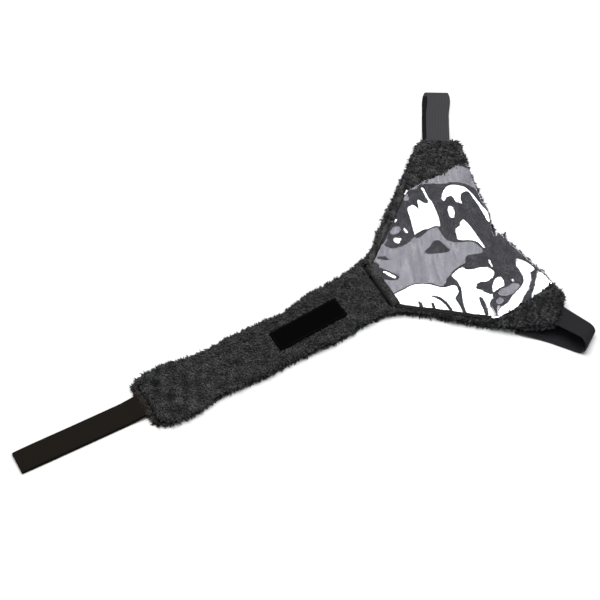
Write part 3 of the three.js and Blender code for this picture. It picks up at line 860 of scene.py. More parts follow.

# %% [markdown]
# ## The wrinkled film
# The white, grey and dark patches on the pocket are not printed. The vinyl is slightly
# crumpled, and each facet of it leans its own way: facets that lean back mirror the soft box,
# those that lean forward mirror the grey wall, and level ones mirror the dark gap. The facets'
# outlines are listed as places read off a picture of 600 by 600 pixels, and the camera
# says where in plan each place lies. A relaxed sheet is then found whose slope, seen along the
# camera's direction, follows them as well as one continuous surface can. Noise or a cloth
# simulation would make wrinkles too, but never these ones.

# %% Facets that mirror the soft box, in pixels
WHITE_FACETS = [
    [(408.7, 208.5), (412, 204.5), (415.5, 207), (419, 210.5), (418.5, 206), (417.5, 201.5), (418.3, 199),
     (420, 200.5), (424, 203.5), (428, 203.5), (429, 201.5), (426.5, 199), (423.5, 193), (420.8, 187),
     (421.8, 186.3), (424.5, 190), (427, 195), (430, 199.8), (431.5, 201), (434, 207), (436, 213),
     (438, 222), (439.5, 226), (436.5, 225.5), (433, 226.3), (428, 228.5), (424, 230.5), (420, 233.5),
     (417, 235.5), (414.5, 235.8), (413.8, 232), (412.5, 226), (411, 218), (409.5, 212)],
    [(443.5, 202.3), (442.5, 198.5), (443.5, 192), (445, 188.7), (448, 186), (452, 184.8), (458, 185),
     (463, 186.5), (467, 189), (470.5, 192), (475, 197), (480, 203), (484, 207.5), (489, 214), (491, 222),
     (488, 223), (484, 215.5), (480, 208.5), (476, 201.5), (472, 196.3), (468, 191.5), (466, 190.5),
     (463.5, 191.8), (461, 194), (461, 199), (462.5, 203), (463.5, 206), (461.5, 204.5), (458, 202.5),
     (454.5, 200.5), (453.5, 197), (451.5, 195.3), (448, 196.5), (445.5, 197.3), (444.8, 200)],
    [(448.5, 206), (450, 205.3), (452.5, 207), (454, 211), (454.3, 217.8), (452, 218.2), (450, 217.5),
     (449, 213), (448, 208)],
    [(463.5, 218.7), (465, 220), (470, 226), (474, 231.5), (478, 237), (481, 241), (485, 247),
     (486.5, 250), (483, 248), (480.5, 245), (477.5, 241.8), (473, 240.3), (466, 240.3), (457.5, 240.3),
     (457, 236), (456, 231), (456, 228.5), (459.5, 226), (460, 221.5), (461.5, 220)],
    [(383.3, 271.2), (385, 271.4), (390, 274), (395, 276.6), (396.6, 277.6), (395, 278.1), (391, 276.5),
     (386.5, 274.1), (383.6, 272.3)],
    [(393, 294.8), (395.5, 294.3), (400, 292.4), (405, 289.6), (411, 285.8), (416, 284.5), (423, 284.3),
     (430.5, 284.8), (436, 286.5), (441.5, 288.5), (446, 288), (450.5, 285.8), (455.5, 285.2),
     (457.5, 287), (458, 290.5), (457.3, 295), (455.5, 298), (456.5, 301.5), (459, 305.5), (462, 310.5),
     (462, 314), (444, 313), (432, 311), (418, 310), (407, 309), (399, 304), (391, 297)],
    [(452.3, 275), (454, 273), (457.5, 269.8), (461.5, 267.2), (464.5, 266.6), (466, 269.8), (468, 269.3),
     (471, 269.3), (475, 268.8), (479.5, 267.3), (486, 267), (490.5, 268.2), (493.3, 269.8),
     (494.3, 273.5), (492.8, 277.8), (489.5, 280), (487.3, 281.8), (480.5, 281.8), (477.5, 284),
     (477, 289.2), (482.6, 290.7), (483.2, 292.5), (489, 293), (489.3, 300), (489.7, 306), (491.3, 313),
     (492, 319), (486, 318), (478, 316), (470, 314), (465.5, 312), (463, 303), (462.2, 295),
     (461.5, 287.5), (459, 283.3), (455, 279.3), (452.3, 277)],
    [(492.8, 282.5), (496.5, 278.3), (501, 276.6), (502.7, 281), (503.4, 285.7), (499, 288),
     (495.7, 290.5), (494.3, 293.5), (494.3, 298), (492.9, 301), (493.4, 309), (495, 318), (492.3, 318),
     (491.8, 312), (490.9, 303), (490.3, 296), (491.3, 291.5), (491.8, 287)],
    [(515.9, 258), (519, 259), (525, 261.5), (530.5, 265.3), (534, 269), (533, 271.8), (531.2, 279),
     (529.2, 286.5), (527.8, 290), (523, 298), (521.5, 303), (516, 308), (510.5, 312.5), (505, 315),
     (498.8, 317), (499.3, 311), (501, 308.3), (504.5, 305.8), (508.5, 303.2), (510.5, 300), (513, 295.5),
     (516.5, 291), (520.7, 287), (522.9, 282), (522.5, 276.5), (520.5, 272), (517, 266.5)],
    [(536.8, 271), (541, 272.5), (545, 276), (549, 281), (552, 287), (549, 291), (543, 295), (532, 300),
     (532.6, 294.5), (535, 286.5), (536.5, 279)],
    [(487.8, 255.5), (489.6, 258.2), (492.2, 263), (493.6, 268.3), (491.8, 268.6), (489.2, 264.5),
     (487.8, 260.5)],
]

# %% Four small facets that mirror it too, each with the share of its size that is kept
# The sheet is smooth, so a small facet's lean spreads past its outline. At full size these four
# show too large, so each is drawn smaller about its own middle.
SMALL_WHITE_FACETS = [
    (0.7, [(396.4, 217.2), (396.9, 219.5), (395.3, 223.6), (394.1, 223.4), (395.2, 220)]),
    (0.6, [(402.3, 226.4), (403.2, 226.1), (405.6, 229.4), (409.2, 234), (409.8, 235.8),
           (407.1, 234), (404.3, 230.9), (402.6, 228.4)]),
    (0.72, [(393, 239), (394, 237.3), (398, 238), (402.2, 236.6), (402.2, 239), (399.7, 241),
            (400.7, 243), (398, 244.8), (396, 243.7), (393.6, 241.5)]),
    (0.75, [(511.3, 278.8), (513.7, 278.6), (514.2, 281.2), (511.8, 281.7)]),
]


def drawn_smaller(outline, share):
    """The outline at a share of its size, about the mean of its points."""
    middle = np.mean(outline, axis=0)
    return [tuple(middle + share * (np.array(place) - middle)) for place in outline]


WHITE_FACETS += [drawn_smaller(outline, share) for share, outline in SMALL_WHITE_FACETS]

# %% Facets that mirror the grey wall, and level spots inside other facets, in pixels
GREY_FACETS = [
    [(408, 189.5), (412, 186), (417, 183), (421, 180), (428, 177), (436, 172), (444, 166), (460, 166),
     (470, 170), (480, 186), (479, 191), (472, 186.5), (467, 184.2), (461, 182.3), (455, 181.8),
     (449.5, 182.3), (446, 184), (436, 184), (425, 184), (421, 184), (418, 186.5), (416.5, 189),
     (412, 189.8)],
    [(368, 260), (372, 253), (376, 248), (380, 243.5), (383.5, 244.5), (387, 247), (392, 248.5),
     (400, 246.7), (406, 244.2), (411, 240.2), (412.5, 238.6), (415, 237.4), (419, 236.2), (423, 232.9),
     (427, 230.6), (431, 228.5), (435, 227.2), (438, 227.6), (440, 230), (442.5, 235), (446, 239),
     (449, 240.8), (455, 242.6), (462, 243.1), (469, 242), (475, 243), (479.5, 246.8), (482.3, 250.7),
     (481, 252.8), (478, 253.5), (470, 254), (465.5, 255.5), (464, 258.5), (464, 262.3), (461, 264.8),
     (457, 267.5), (453, 271.5), (449.5, 275.8), (447, 279), (446.3, 283), (443.5, 286.7), (438, 285.6),
     (430.5, 283.5), (421, 283), (415, 283.3), (409, 285.6), (403, 289.1), (398, 291.6), (393, 294),
     (386, 292), (381, 285), (377, 278), (381, 277.5), (385, 279.6), (391, 280.3), (397, 279.8),
     (399.2, 277), (395, 274.2), (390, 272), (384, 269.2), (379.5, 268), (375, 265.5), (371, 263)],
    [(389.6, 232), (392.3, 227.5), (396, 225.8), (399.7, 226.5), (401.2, 229.5), (399, 233.2), (395, 235),
     (391, 234.7)],
    [(383.5, 243.8), (386.8, 237.3), (388.7, 236.2), (387.3, 241), (385.2, 244.8)],
    [(403.2, 200.8), (404.3, 196), (406.3, 192.3), (407.7, 192.8), (408.8, 197), (409.7, 200),
     (407, 201.8)],
    [(499.3, 290.5), (503, 288.3), (508, 286.6), (511.5, 283.3), (515, 282.8), (518.7, 283.8),
     (519.2, 287.5), (515.5, 292.2), (511, 294.7), (506, 296), (500.5, 296), (497.3, 293.5)],
    [(496.5, 299), (501, 297.2), (504.3, 299.5), (502.7, 303.2), (498.5, 304.8), (496, 302.5)],
]
LEVEL_SPOTS = [
    [(530.6, 271), (537.2, 269.8), (536.6, 279), (535, 286.5), (532.4, 295.5), (527, 301.5),
     (521.5, 302.5), (523.8, 298), (528, 290), (529.6, 286), (530.9, 279)],
    [(424, 251.5), (428, 249), (431, 246), (433, 241.5), (436, 240.3), (439, 240.5), (443, 244),
     (447, 248), (450.5, 250), (447, 252), (440, 253), (432, 254), (427, 253.3)],
    [(427.5, 295.3), (434, 295.5), (440.5, 296.9), (446.8, 301.8), (451.5, 308.3), (453.5, 311),
     (449.5, 311), (446.2, 305.8), (440.8, 300.8), (434, 297.5)],
    [(417.8, 301.2), (421.5, 302), (424, 309.5), (420.3, 309.5)],
    [(430.6, 302), (434, 302.8), (436.3, 310), (433, 310)],
    [(479.6, 296.6), (482.7, 297.6), (485.2, 302.3), (487.2, 309), (488.3, 315), (485.3, 315),
     (483.2, 309), (480.7, 303.5)],
    [(375.5, 258.6), (379, 256.6), (384, 256.6), (388, 258.6), (391.5, 260.5), (386, 260.1), (381, 259.2)],
    [(371, 260.6), (377, 263.6), (380.5, 266.6), (377.5, 266.5), (372.5, 263.8)],
]


# %% The slope that each point of the plan should have
def inside(outline, x, y):
    found = np.zeros(x.shape, bool)
    for (ax, ay), (bx, by) in zip(outline, outline[1:] + outline[:1]):
        crosses = (ay > y) != (by > y)
        if ay != by:
            found ^= crosses & (x < ax + (y - ay) * (bx - ax) / (by - ay))
    return found


def blur(field, sigma):
    reach = int(3 * sigma) + 1
    kernel = np.exp(-0.5 * (np.arange(-reach, reach + 1) / sigma) ** 2)
    kernel /= kernel.sum()
    for axis in (0, 1):
        pad = [(reach, reach) if axis == i else (0, 0) for i in (0, 1)]
        padded = np.pad(field, pad, mode="edge")
        span = np.arange(field.shape[axis])
        field = sum(k * np.take(padded, span + j, axis) for j, k in enumerate(kernel))
    return field


# A level spot keeps a small part of the slope round it, turned the other way, and keeps it firmly
WHITE_SLOPE, GREY_SLOPE = 0.064, -0.064
SPOT_SHARE, SPOT_FIRMNESS = -0.3, 6.0
FACET_BLUR = 0.65
PLAN_STEP = 0.8
PLAN_X0, PLAN_X1, PLAN_Y0, PLAN_Y1 = 80.0, 263, -98.0, 99
along_plan = np.arange(PLAN_X0, PLAN_X1, PLAN_STEP)
across_plan = np.arange(PLAN_Y0, PLAN_Y1, PLAN_STEP)
plan_x, plan_y = np.meshgrid(along_plan, across_plan, indexing="ij")

# The camera sees each point at a slightly different angle, and the right ear is lifted
away_x, away_y = flat_away.x, flat_away.y
beyond_aim = (plan_x - AIM.x / MM) * away_x + (plan_y - AIM.y / MM) * away_y
camera_height = CAMERA_DISTANCE / MM * math.sin(CAMERA_ELEVATION)
camera_away = CAMERA_DISTANCE / MM * math.cos(CAMERA_ELEVATION)
ray = np.arctan2(camera_height, camera_away + beyond_aim)
plan_flat = flat_plan(plan_x, plan_y)
plan_lift = lift(*plan_flat)
lift_x, lift_y = np.gradient(plan_lift, PLAN_STEP)
lean_of_view = (MIRROR_MIDDLE - ray) / 2 - away_x * lift_x - away_y * lift_y


# %% Where a place in the picture lies in plan
PICTURE_SIZE = 600
PLAN_ROUNDS = 12


def sample(field, x, y):
    i = np.clip((x - PLAN_X0) / PLAN_STEP, 0, field.shape[0] - 1.001)
    j = np.clip((y - PLAN_Y0) / PLAN_STEP, 0, field.shape[1] - 1.001)
    i0, j0 = i.astype(int), j.astype(int)
    a, b = i - i0, j - j0
    low = field[i0, j0] * (1 - a) + field[i0 + 1, j0] * a
    high = field[i0, j0 + 1] * (1 - a) + field[i0 + 1, j0 + 1] * a
    return low * (1 - b) + high * b


def in_plan(outline, level):
    """The outline's points in millimetres, on a film that stands at that level over the ground."""
    u, v = np.array(outline, float).T
    above = np.cross(side_axis, look)
    rays = np.outer(look, np.full(len(u), LENS_PER_SENSOR * PICTURE_SIZE))
    rays += np.outer(side_axis, u - PICTURE_SIZE / 2) + np.outer(above, PICTURE_SIZE / 2 - v)
    eye = np.array(camera.location)[:, None] / MM
    z = np.full(len(u), level.mean())
    for _ in range(PLAN_ROUNDS):
        x, y = (eye + rays * (z - eye[2]) / rays[2])[:2]
        z = (z + sample(level, x, y)) / 2
    return list(zip(x, y))


def facet_slope(level):
    """The slope that each point should have, and how firmly it should keep it."""
    slope = np.zeros(plan_x.shape)
    firmness = np.ones(plan_x.shape)
    for outlines, value in ((GREY_FACETS, GREY_SLOPE), (WHITE_FACETS, WHITE_SLOPE)):
        for outline in outlines:
            slope[inside(in_plan(outline, level), plan_x, plan_y)] = value
    for outline in LEVEL_SPOTS:
        spot = inside(in_plan(outline, level), plan_x, plan_y)
        slope[spot] *= SPOT_SHARE
        firmness[spot] = SPOT_FIRMNESS
    return blur(slope, FACET_BLUR / PLAN_STEP) + lean_of_view, firmness


print("facets:", len(WHITE_FACETS) + len(GREY_FACETS), "and level spots:", len(LEVEL_SPOTS))


# %% How stiff the sheet is
def differences(h):
    along_x = ((h[1:, 1:] - h[:-1, 1:]) + (h[1:, :-1] - h[:-1, :-1])) / 2
    along_y = ((h[1:, 1:] - h[1:, :-1]) + (h[:-1, 1:] - h[:-1, :-1])) / 2
    return along_x, along_y, h[1:, 1:] - h[1:, :-1] - h[:-1, 1:] + h[:-1, :-1]


def gather(along_x, along_y, twist, shape):
    total = np.zeros(shape)
    total[1:, 1:] += along_x / 2 + along_y / 2 + twist
    total[:-1, 1:] += -along_x / 2 + along_y / 2 - twist
    total[1:, :-1] += along_x / 2 - along_y / 2 - twist
    total[:-1, :-1] += -along_x / 2 - along_y / 2 + twist
    return total


CROSS_STIFFNESS, TWIST_STIFFNESS, CENTRING = 0.03, 0.01, 1e-6
UNDER_TAPE, PAST_MOUTH = 2.4, 2
VIEW_EDGE, HIDDEN_WEIGHT = -0.4, 0.05
tape_depth, station_of = inside_tape(*plan_flat)
past_mouth = station_of > POCKET_MOUTH_X + PAST_MOUTH
inner = (tape_depth > -UNDER_TAPE) & (station_of < POCKET_MOUTH_X + PAST_MOUTH)
in_view = tape_depth[1:, 1:] > VIEW_EDGE
cell = (inner[1:, 1:] | inner[1:, :-1] | inner[:-1, 1:] | inner[:-1, :-1]).astype(float)
cell[past_mouth[1:, 1:]] = 0
cell *= np.where(in_view, 1.0, HIDDEN_WEIGHT)


def of_cells(field):
    return (field[1:, 1:] + field[1:, :-1] + field[:-1, 1:] + field[:-1, :-1]) / 4


def stiffness(h, firm):
    along_x, along_y, twist = differences(h)
    down = (away_x * along_x + away_y * along_y) * firm
    across = (away_x * along_y - away_y * along_x) * cell * CROSS_STIFFNESS
    pulled = gather(away_x * down - away_y * across, away_y * down + away_x * across,
                    TWIST_STIFFNESS * twist * cell, h.shape)
    return (pulled + CENTRING * h) * inner


# %% Relax the sheet to the slope, by conjugate gradients
RELAX_ROUNDS = 800


def relaxed(slope, firmness):
    firm = cell * of_cells(firmness)
    wanted = of_cells(slope) * firm * PLAN_STEP * in_view
    height = np.zeros(plan_x.shape)
    left = gather(away_x * wanted, away_y * wanted, 0 * wanted, height.shape) * inner
    step, size = left.copy(), (left**2).sum()
    for _ in range(RELAX_ROUNDS):
        pulled = stiffness(step, firm)
        share = size / (step * pulled).sum()
        height += share * step
        left -= share * pulled
        new_size = (left**2).sum()
        step = left + new_size / size * step
        size = new_size
    return height


# The outlines' places in plan need the film's height, so the sheet is found twice
FILM_BASE = 2.4
UNDER_FILM = LAYER + FILM_HEM_GAP
level = np.full(plan_x.shape, UNDER_FILM + FILM_BASE)
for _ in range(2):
    height = relaxed(*facet_slope(level))
    level = plan_lift + UNDER_FILM + FILM_BASE + np.maximum(height, -FILM_BASE)
shown = inner & (tape_depth > 0)
print("film relief: %.1f to %.1f mm" % (height[shown].min(), height[shown].max()))

# %% [markdown]
# The sheet's edge lies flat under the tape and the ear caps, and the sheet comes up towards the
# tape's inner edge. A plain grid would cut the concave mouth in steps, so the rows of points
# follow the mouth's curve, as the cut edge does.

# %% The film's mesh
ROWS, COLUMNS = 205, 232
UNDER_NECK, UNDER_SIDE = 3.0, 2.2
UNDER_CAP, RISE = (163, 171), (-4.2, -1.2)
stations = np.linspace(POCKET_NECK_X + UNDER_NECK, POCKET_MOUTH_X, ROWS)[:, None]
hem = -UNDER_SIDE + (UNDER_SIDE + FILM_HEM) * ramp(stations, *UNDER_CAP)
film_y = np.linspace(-1, 1, COLUMNS)[None, :] * (pocket_half(stations) + hem)
film_x = stations - mouth_pull(stations, film_y)
film_x -= drawn_back(stations, film_y, NOTCH_Y, NOTCH_PULL)

film_depth, _ = inside_tape(film_x, film_y)
rise = ramp(film_depth, *RISE)
laid_x, laid_y = lay_out(film_x, film_y)
relief = np.maximum(sample(height, laid_x, laid_y), -FILM_BASE)
film_z = lift(film_x, film_y) + UNDER_FILM + rise * (FILM_BASE + relief)
points = np.stack([laid_x, laid_y, film_z], axis=-1).reshape(-1, 3)
index = np.arange(ROWS * COLUMNS).reshape(ROWS, COLUMNS)
around = [index[:-1, :-1], index[1:, :-1], index[1:, 1:], index[:-1, 1:]]
faces = np.stack(around, axis=-1).reshape(-1, 4)
film = mesh_object("film_sheet", points, faces.tolist(), clear_film)
thicken = film.modifiers.new("thickness", "SOLIDIFY")
thicken.thickness, thicken.offset = FILM_THICKNESS * MM, 1
apply_modifiers(film)
shade_smooth(film)
hand_over(film, "clear_film", "pocket_film")

# %% [markdown]
# ## Tapes, label and stitches
# Flat tape binds the film's edge. It is a strip that follows a line, crowned a little and
# rounded at its edges. A curve with a bevel could make it, but here each point keeps its place
# across and along the strip in millimetres, so that the weave runs with the tape.


# %% A woven strip along a path
EDGE_ROUND, THINNEST_EDGE = 1.2, 0.02
SHARP_EDGE = math.radians(40)


def strip_section(width, thickness, columns, crown):
    """The strip's outline across its run: flat below, crowned above, rounded at both edges."""
    u = np.linspace(-1, 1, columns + 1)
    rounded = EDGE_ROUND * thickness / width
    over_edge = np.clip((np.abs(u) - (1 - rounded)) / rounded, 0, 1)
    edge = np.sqrt(np.clip(1 - over_edge**2, THINNEST_EDGE, 1))
    top = thickness / 2 * edge + crown * thickness * (1 - u * u) * edge
    upper = list(zip(u * width / 2, top))
    lower = list(zip(u * width / 2, -thickness / 2 * edge))
    return upper + lower[::-1]


def strip_mesh(name, path, width, thickness, material, columns=14, crown=0.15):
    """path is a list of (point, across) in millimetres. The strip is closed at its ends."""
    centres = np.array([p for p, _ in path], float)
    across = unit(np.array([a for _, a in path], float))
    up = unit(np.cross(unit(np.gradient(centres, axis=0)), across))
    travelled = distances_along(centres)
    section = strip_section(width, thickness, columns, crown)
    ring = len(section)
    points, strips = [], []
    for centre, side, rise, far in zip(centres, across, up, travelled):
        for s, z in section:
            points.append(centre + side * s + rise * z)
            strips.append((s, far, far / travelled[-1]))
    faces = []
    for i in range(len(centres) - 1):
        for k in range(ring):
            a, b = i * ring + k, i * ring + (k + 1) % ring
            faces.append((a, b, b + ring, a + ring))
    last = (len(centres) - 1) * ring
    faces += [range(ring)[::-1], range(last, last + ring)]
    piece = mesh_object(name, points, faces, material)
    attribute = piece.data.attributes.new("strip", "FLOAT_VECTOR", "POINT")
    attribute.data.foreach_set("vector", np.array(strips, float).reshape(-1))
    edit_whole(piece, bpy.ops.mesh.normals_make_consistent, inside=False)
    bpy.ops.object.shade_smooth_by_angle(angle=SHARP_EDGE)
    return piece


# %% The film's bindings
TAPE_Z = UNDER_FILM + FILM_THICKNESS + SEAM_GAP + TAPE_THICKNESS / 2
TAPE_CLIMB, SETTLED = (-1.6, 2.2), 2


def on_film(x, y, at_x, at_y):
    """A tape's line, as high as the film stands at (at_x, at_y), the tape's inner edge."""
    high = FILM_BASE + np.clip(sample(height, *lay_out(at_x, at_y)), *TAPE_CLIMB)
    for settle in (np.max, np.mean):
        padded = np.pad(high, SETTLED, mode="edge")
        windows = [padded[i:i + len(high)] for i in range(2 * SETTLED + 1)]
        high = settle(windows, axis=0)
    return np.stack([*lay_out(x, y), TAPE_Z + lift(x, y) + high], axis=1)


# %% The two slanted tapes
SLANT_RUN = (POCKET_WIDTH - POCKET_NECK_WIDTH) / 2 / math.tan(POCKET_FLARE)
SIDE_START = TAPE_WIDTH + 1.5
SIDE_POINTS, NECK_POINTS, NECK_TAPE_RISE = 40, 30, 0.15


def side_line(side, inset):
    """The slanted edge of the window, that far inside it."""
    slant = np.linspace(SIDE_START, SLANT_RUN, SIDE_POINTS)
    station = POCKET_NECK_X + slant
    y = (pocket_half(station) - inset / math.cos(POCKET_FLARE)) * side
    x = station - mouth_pull(station, y)
    inner_y = (pocket_half(station) - (TAPE_WIDTH + SEAM_GAP) / math.cos(POCKET_FLARE)) * side
    return on_film(x, y, station - mouth_pull(station, inner_y), inner_y)


inward = [math.sin(POCKET_FLARE), math.cos(POCKET_FLARE), 0]
for side, name in ((1, "left_side_binding"), (-1, "right_side_binding")):
    line = side_line(side, SEAM_GAP + TAPE_WIDTH / 2)
    path = [(p, (inward[0], -side * inward[1], 0)) for p in line]
    tape = strip_mesh(name + "_tape", path, TAPE_WIDTH, TAPE_THICKNESS, binding_tape)
    hand_over(tape, "binding_tape", name)


# %% Lines across the neck
def neck_line(inset):
    """A line across the neck, that far inside the window's end."""
    y = np.linspace(1, -1, NECK_POINTS) * (POCKET_NECK_WIDTH / 2 - SEAM_GAP)
    outer_x = POCKET_NECK_X - mouth_pull(POCKET_NECK_X, y) + SEAM_GAP
    line = on_film(outer_x + inset, y, outer_x + NECK_TAPE_WIDTH, y)
    return line + np.array([0, 0, NECK_TAPE_RISE])


# %% Pile over the left tape, which it hides, and a little of it on the neck tape
PILE_SINK = 0.1
TAPE_PILE_LEAN = np.array([[0.14, 0.19, 0.97]])


def tape_pile(name, outer, inner_edge, number, reach, length, painted_shade_and_tone, seed):
    """Tufts between two lines: reach says from where to where, as shares of the way."""
    rng = np.random.default_rng(seed)
    along = rng.random(number) * (len(outer) - 1.001)
    across = rng.uniform(*reach, (number, 1))
    first, share = along.astype(int), (along % 1)[:, None]
    spots = (outer[first] * (1 - share) + outer[first + 1] * share) * (1 - across)
    spots += (inner_edge[first] * (1 - share) + inner_edge[first + 1] * share) * across
    spots[:, 2] += TAPE_THICKNESS / 2 - PILE_SINK
    normals = np.repeat(TAPE_PILE_LEAN, number, axis=0)
    lengths = length * rng.uniform(*LENGTH_RANGE, number)
    piece = tufts(name, spots, normals, lengths, rng, front_towelling, painted_shade_and_tone)
    hand_over(piece, "front_towelling")


tape_pile("left_tape_pile", side_line(1, SEAM_GAP), side_line(1, SEAM_GAP + TAPE_WIDTH),
          number=1100, reach=(0, 0.85), length=2.3, painted_shade_and_tone=0.0, seed=31)
tape_pile("neck_tape_pile", neck_line(0), neck_line(NECK_TAPE_WIDTH),
          number=520, reach=(0.2, 0.97), length=0.9, painted_shade_and_tone=0.12, seed=37)

# %% The neck's tape
path = [(p, (1, 0, 0)) for p in neck_line(NECK_TAPE_WIDTH / 2)]
neck_tape = strip_mesh("neck_binding_tape", path, NECK_TAPE_WIDTH, TAPE_THICKNESS, binding_tape)
hand_over(neck_tape, "binding_tape", "neck_binding")

# %% [markdown]
# The label is a plain black woven patch. It lies on the pile, so it follows the strap's gentle
# waves, and a row of stitches holds it all round. A bump could only draw the stitches, so each of
# them is a small solid of its own.

# %% Label
LABEL_THICKNESS, LABEL_GAP, LABEL_MIDDLE = 0.9, 0.5, 0.75
LABEL_Z = 2 * LAYER + SEAM_GAP + LABEL_GAP + LABEL_MIDDLE
WAVE_HEIGHT, WAVE_RUN = 0.35, 19
label_centre = np.array(lay_out(LABEL_X, 0.0))
label_ahead = np.array([math.cos(LABEL_TURN), math.sin(LABEL_TURN)])
label_side = np.array([-math.sin(LABEL_TURN), math.cos(LABEL_TURN)])


def on_label(along, across, rise=0.0):
    x, y = label_centre + label_ahead * along + label_side * across
    return (x, y, LABEL_Z + rise + WAVE_HEIGHT * math.sin(x / WAVE_RUN))


run = np.linspace(-LABEL_LENGTH / 2, LABEL_LENGTH / 2, 60)
path = [(on_label(along, 0), (*label_side, 0)) for along in run]
label = strip_mesh("label", path, LABEL_WIDTH, LABEL_THICKNESS, label_cloth, columns=24, crown=0.0)
hand_over(label, "label_cloth", "label_patch")


# %% Stitches
STITCH_PROFILE = [(-0.5, 0.25), (-0.42, 0.8), (0.0, 1.0), (0.42, 0.8), (0.5, 0.25)]
STITCH_SIDES, STITCH_BULGE = 6, 0.1


def stitch_row(name, line, length=2.4, gap=1.1, radius=0.28):
    """Short rounded stitches along a line of points, each a small capsule."""
    line = np.asarray(line, float)
    far = distances_along(line)
    starts = np.arange(gap / 2, far[-1] - length, length + gap)

    def at(distance):
        return np.array([np.interp(distance, far, line[:, k]) for k in range(3)])

    points, faces = [], []
    for start in starts:
        middle = at(start + length / 2)
        ahead = unit(at(start + length) - at(start))
        side = unit(np.cross([0, 0, 1], ahead))
        up = np.cross(ahead, side)
        base = len(points)
        for share, size in STITCH_PROFILE:
            centre = middle + ahead * share * length + up * STITCH_BULGE * (1 - (2 * share) ** 2)
            for k in range(STITCH_SIDES):
                a = 2 * math.pi * k / STITCH_SIDES
                points.append(centre + (math.cos(a) * side + math.sin(a) * up) * radius * size)
        last = len(points) - STITCH_SIDES
        for ring in range(base, last, STITCH_SIDES):
            for k in range(STITCH_SIDES):
                a, b = ring + k, ring + (k + 1) % STITCH_SIDES
                faces.append([a, b, b + STITCH_SIDES, a + STITCH_SIDES])
        faces += [range(base, base + STITCH_SIDES)[::-1], range(last, last + STITCH_SIDES)]
    piece = mesh_object(name, points, faces, thread_material)
    shade_smooth(piece)
    hand_over(piece, "binding_tape")
    print(len(starts), "stitches")


LABEL_INSET, LABEL_STITCH_RISE = 1.4, 0.45
half_length, half_width = LABEL_LENGTH / 2 - LABEL_INSET, LABEL_WIDTH / 2 - LABEL_INSET
corners = [(-half_length, -half_width), (half_length, -half_width),
           (half_length, half_width), (-half_length, half_width)]
border = []
for (ax, ay), (bx, by) in zip(corners, corners[1:] + corners[:1]):
    for t in np.linspace(0, 1, 20, endpoint=False):
        border.append(on_label(ax + (bx - ax) * t, ay + (by - ay) * t, LABEL_STITCH_RISE))
border.append(border[0])
stitch_row("label_stitches", border, length=1.8, gap=0.8, radius=0.2)

# %% Stitches on the tapes
STITCH_RISE, SIDE_STITCH_SHARE, NECK_STITCH_INSET = 0.12, 0.72, 1.6
side_inset = SEAM_GAP + TAPE_WIDTH * SIDE_STITCH_SHARE
rows = [("left_tape_stitches", side_line(1, side_inset)),
        ("right_tape_stitches", side_line(-1, side_inset)),
        ("outer_neck_stitches", neck_line(NECK_STITCH_INSET)),
        ("inner_neck_stitches", neck_line(NECK_TAPE_WIDTH - NECK_STITCH_INSET))]
for name, line in rows:
    line[:, 2] += TAPE_THICKNESS / 2 + STITCH_RISE
    stitch_row(name, line)

# %% [markdown]
# ## Webbing loops
# The elastic is a flat ribbed band. Its path is worked out much as for the solids: folded flat
# at the tail and at the left ear, and standing open at the right ear, where it comes out of the
# lifted ear, turns over in the air and runs back along the ground. A curve object could carry the
# band, but it twists by itself at tight bends, so each point of the path has its own direction
# across.

# %% Where the loops start and lie
SEAM_MIDDLE = LAYER + SEAM_GAP / 2
FOLD_GAP, SEWN_LENGTH = 0.35, 20.0
REST = WEB_THICKNESS / 2 + 0.05
UPRIGHT = np.array([0, 0, 1.0])


def axes(turn):
    """The directions along and across a band on the ground."""
    along = np.array([math.cos(turn), math.sin(turn), 0])
    return along, np.cross(along, UPRIGHT)


# %% A loop that is folded flat
TO_GROUND, FOLD_REACH, FOLD_BULGE, FOLD_STEPS = 26, 3, 0.8, 8
SLIP_RUN = 40


def flat_loop(start, turn, reach, slip):
    """slip is how far the lower run lies beside the upper one."""
    along, across = axes(turn)
    apart = WEB_THICKNESS + FOLD_GAP
    drop = SEAM_MIDDLE - apart / 2 - REST

    def upper(s):
        return SEAM_MIDDLE + apart / 2 - drop * float(smooth(s / TO_GROUND))

    def place(s, z, shift):
        point = np.array([start[0], start[1], 0]) + along * s + across * shift
        return np.array([point[0], point[1], z]), across

    fold = reach - FOLD_REACH
    outward = [-SEWN_LENGTH, -8, 0, 5, 9, 13, 17, 21, TO_GROUND, reach / 2, fold]
    path = [place(s, upper(s), 0) for s in outward]
    for i in range(1, FOLD_STEPS):
        a = i / FOLD_STEPS * math.pi
        s = fold + apart * FOLD_BULGE * math.sin(a)
        path.append(place(s, REST + apart / 2 * (1 + math.cos(a)), -slip * i / FOLD_STEPS / 2))
    for s in outward[::-1]:
        slipped = (1 + float(smooth((reach - s) / SLIP_RUN))) / 2
        path.append(place(s, upper(s) - apart, -slip * slipped))
    return path


# %% The loop that stands open
TWIST = math.radians(17)
UP_SHARE, BEND_SHARE, DOWN_SHARE = 0.35, 0.55, 1.05
BEND_STEPS, RETURN_STEPS = 9, 7
UNDER_EAR, TOP_DROP, EAR_REACHED = 0.5, 0.5, (0.6, 1.0)


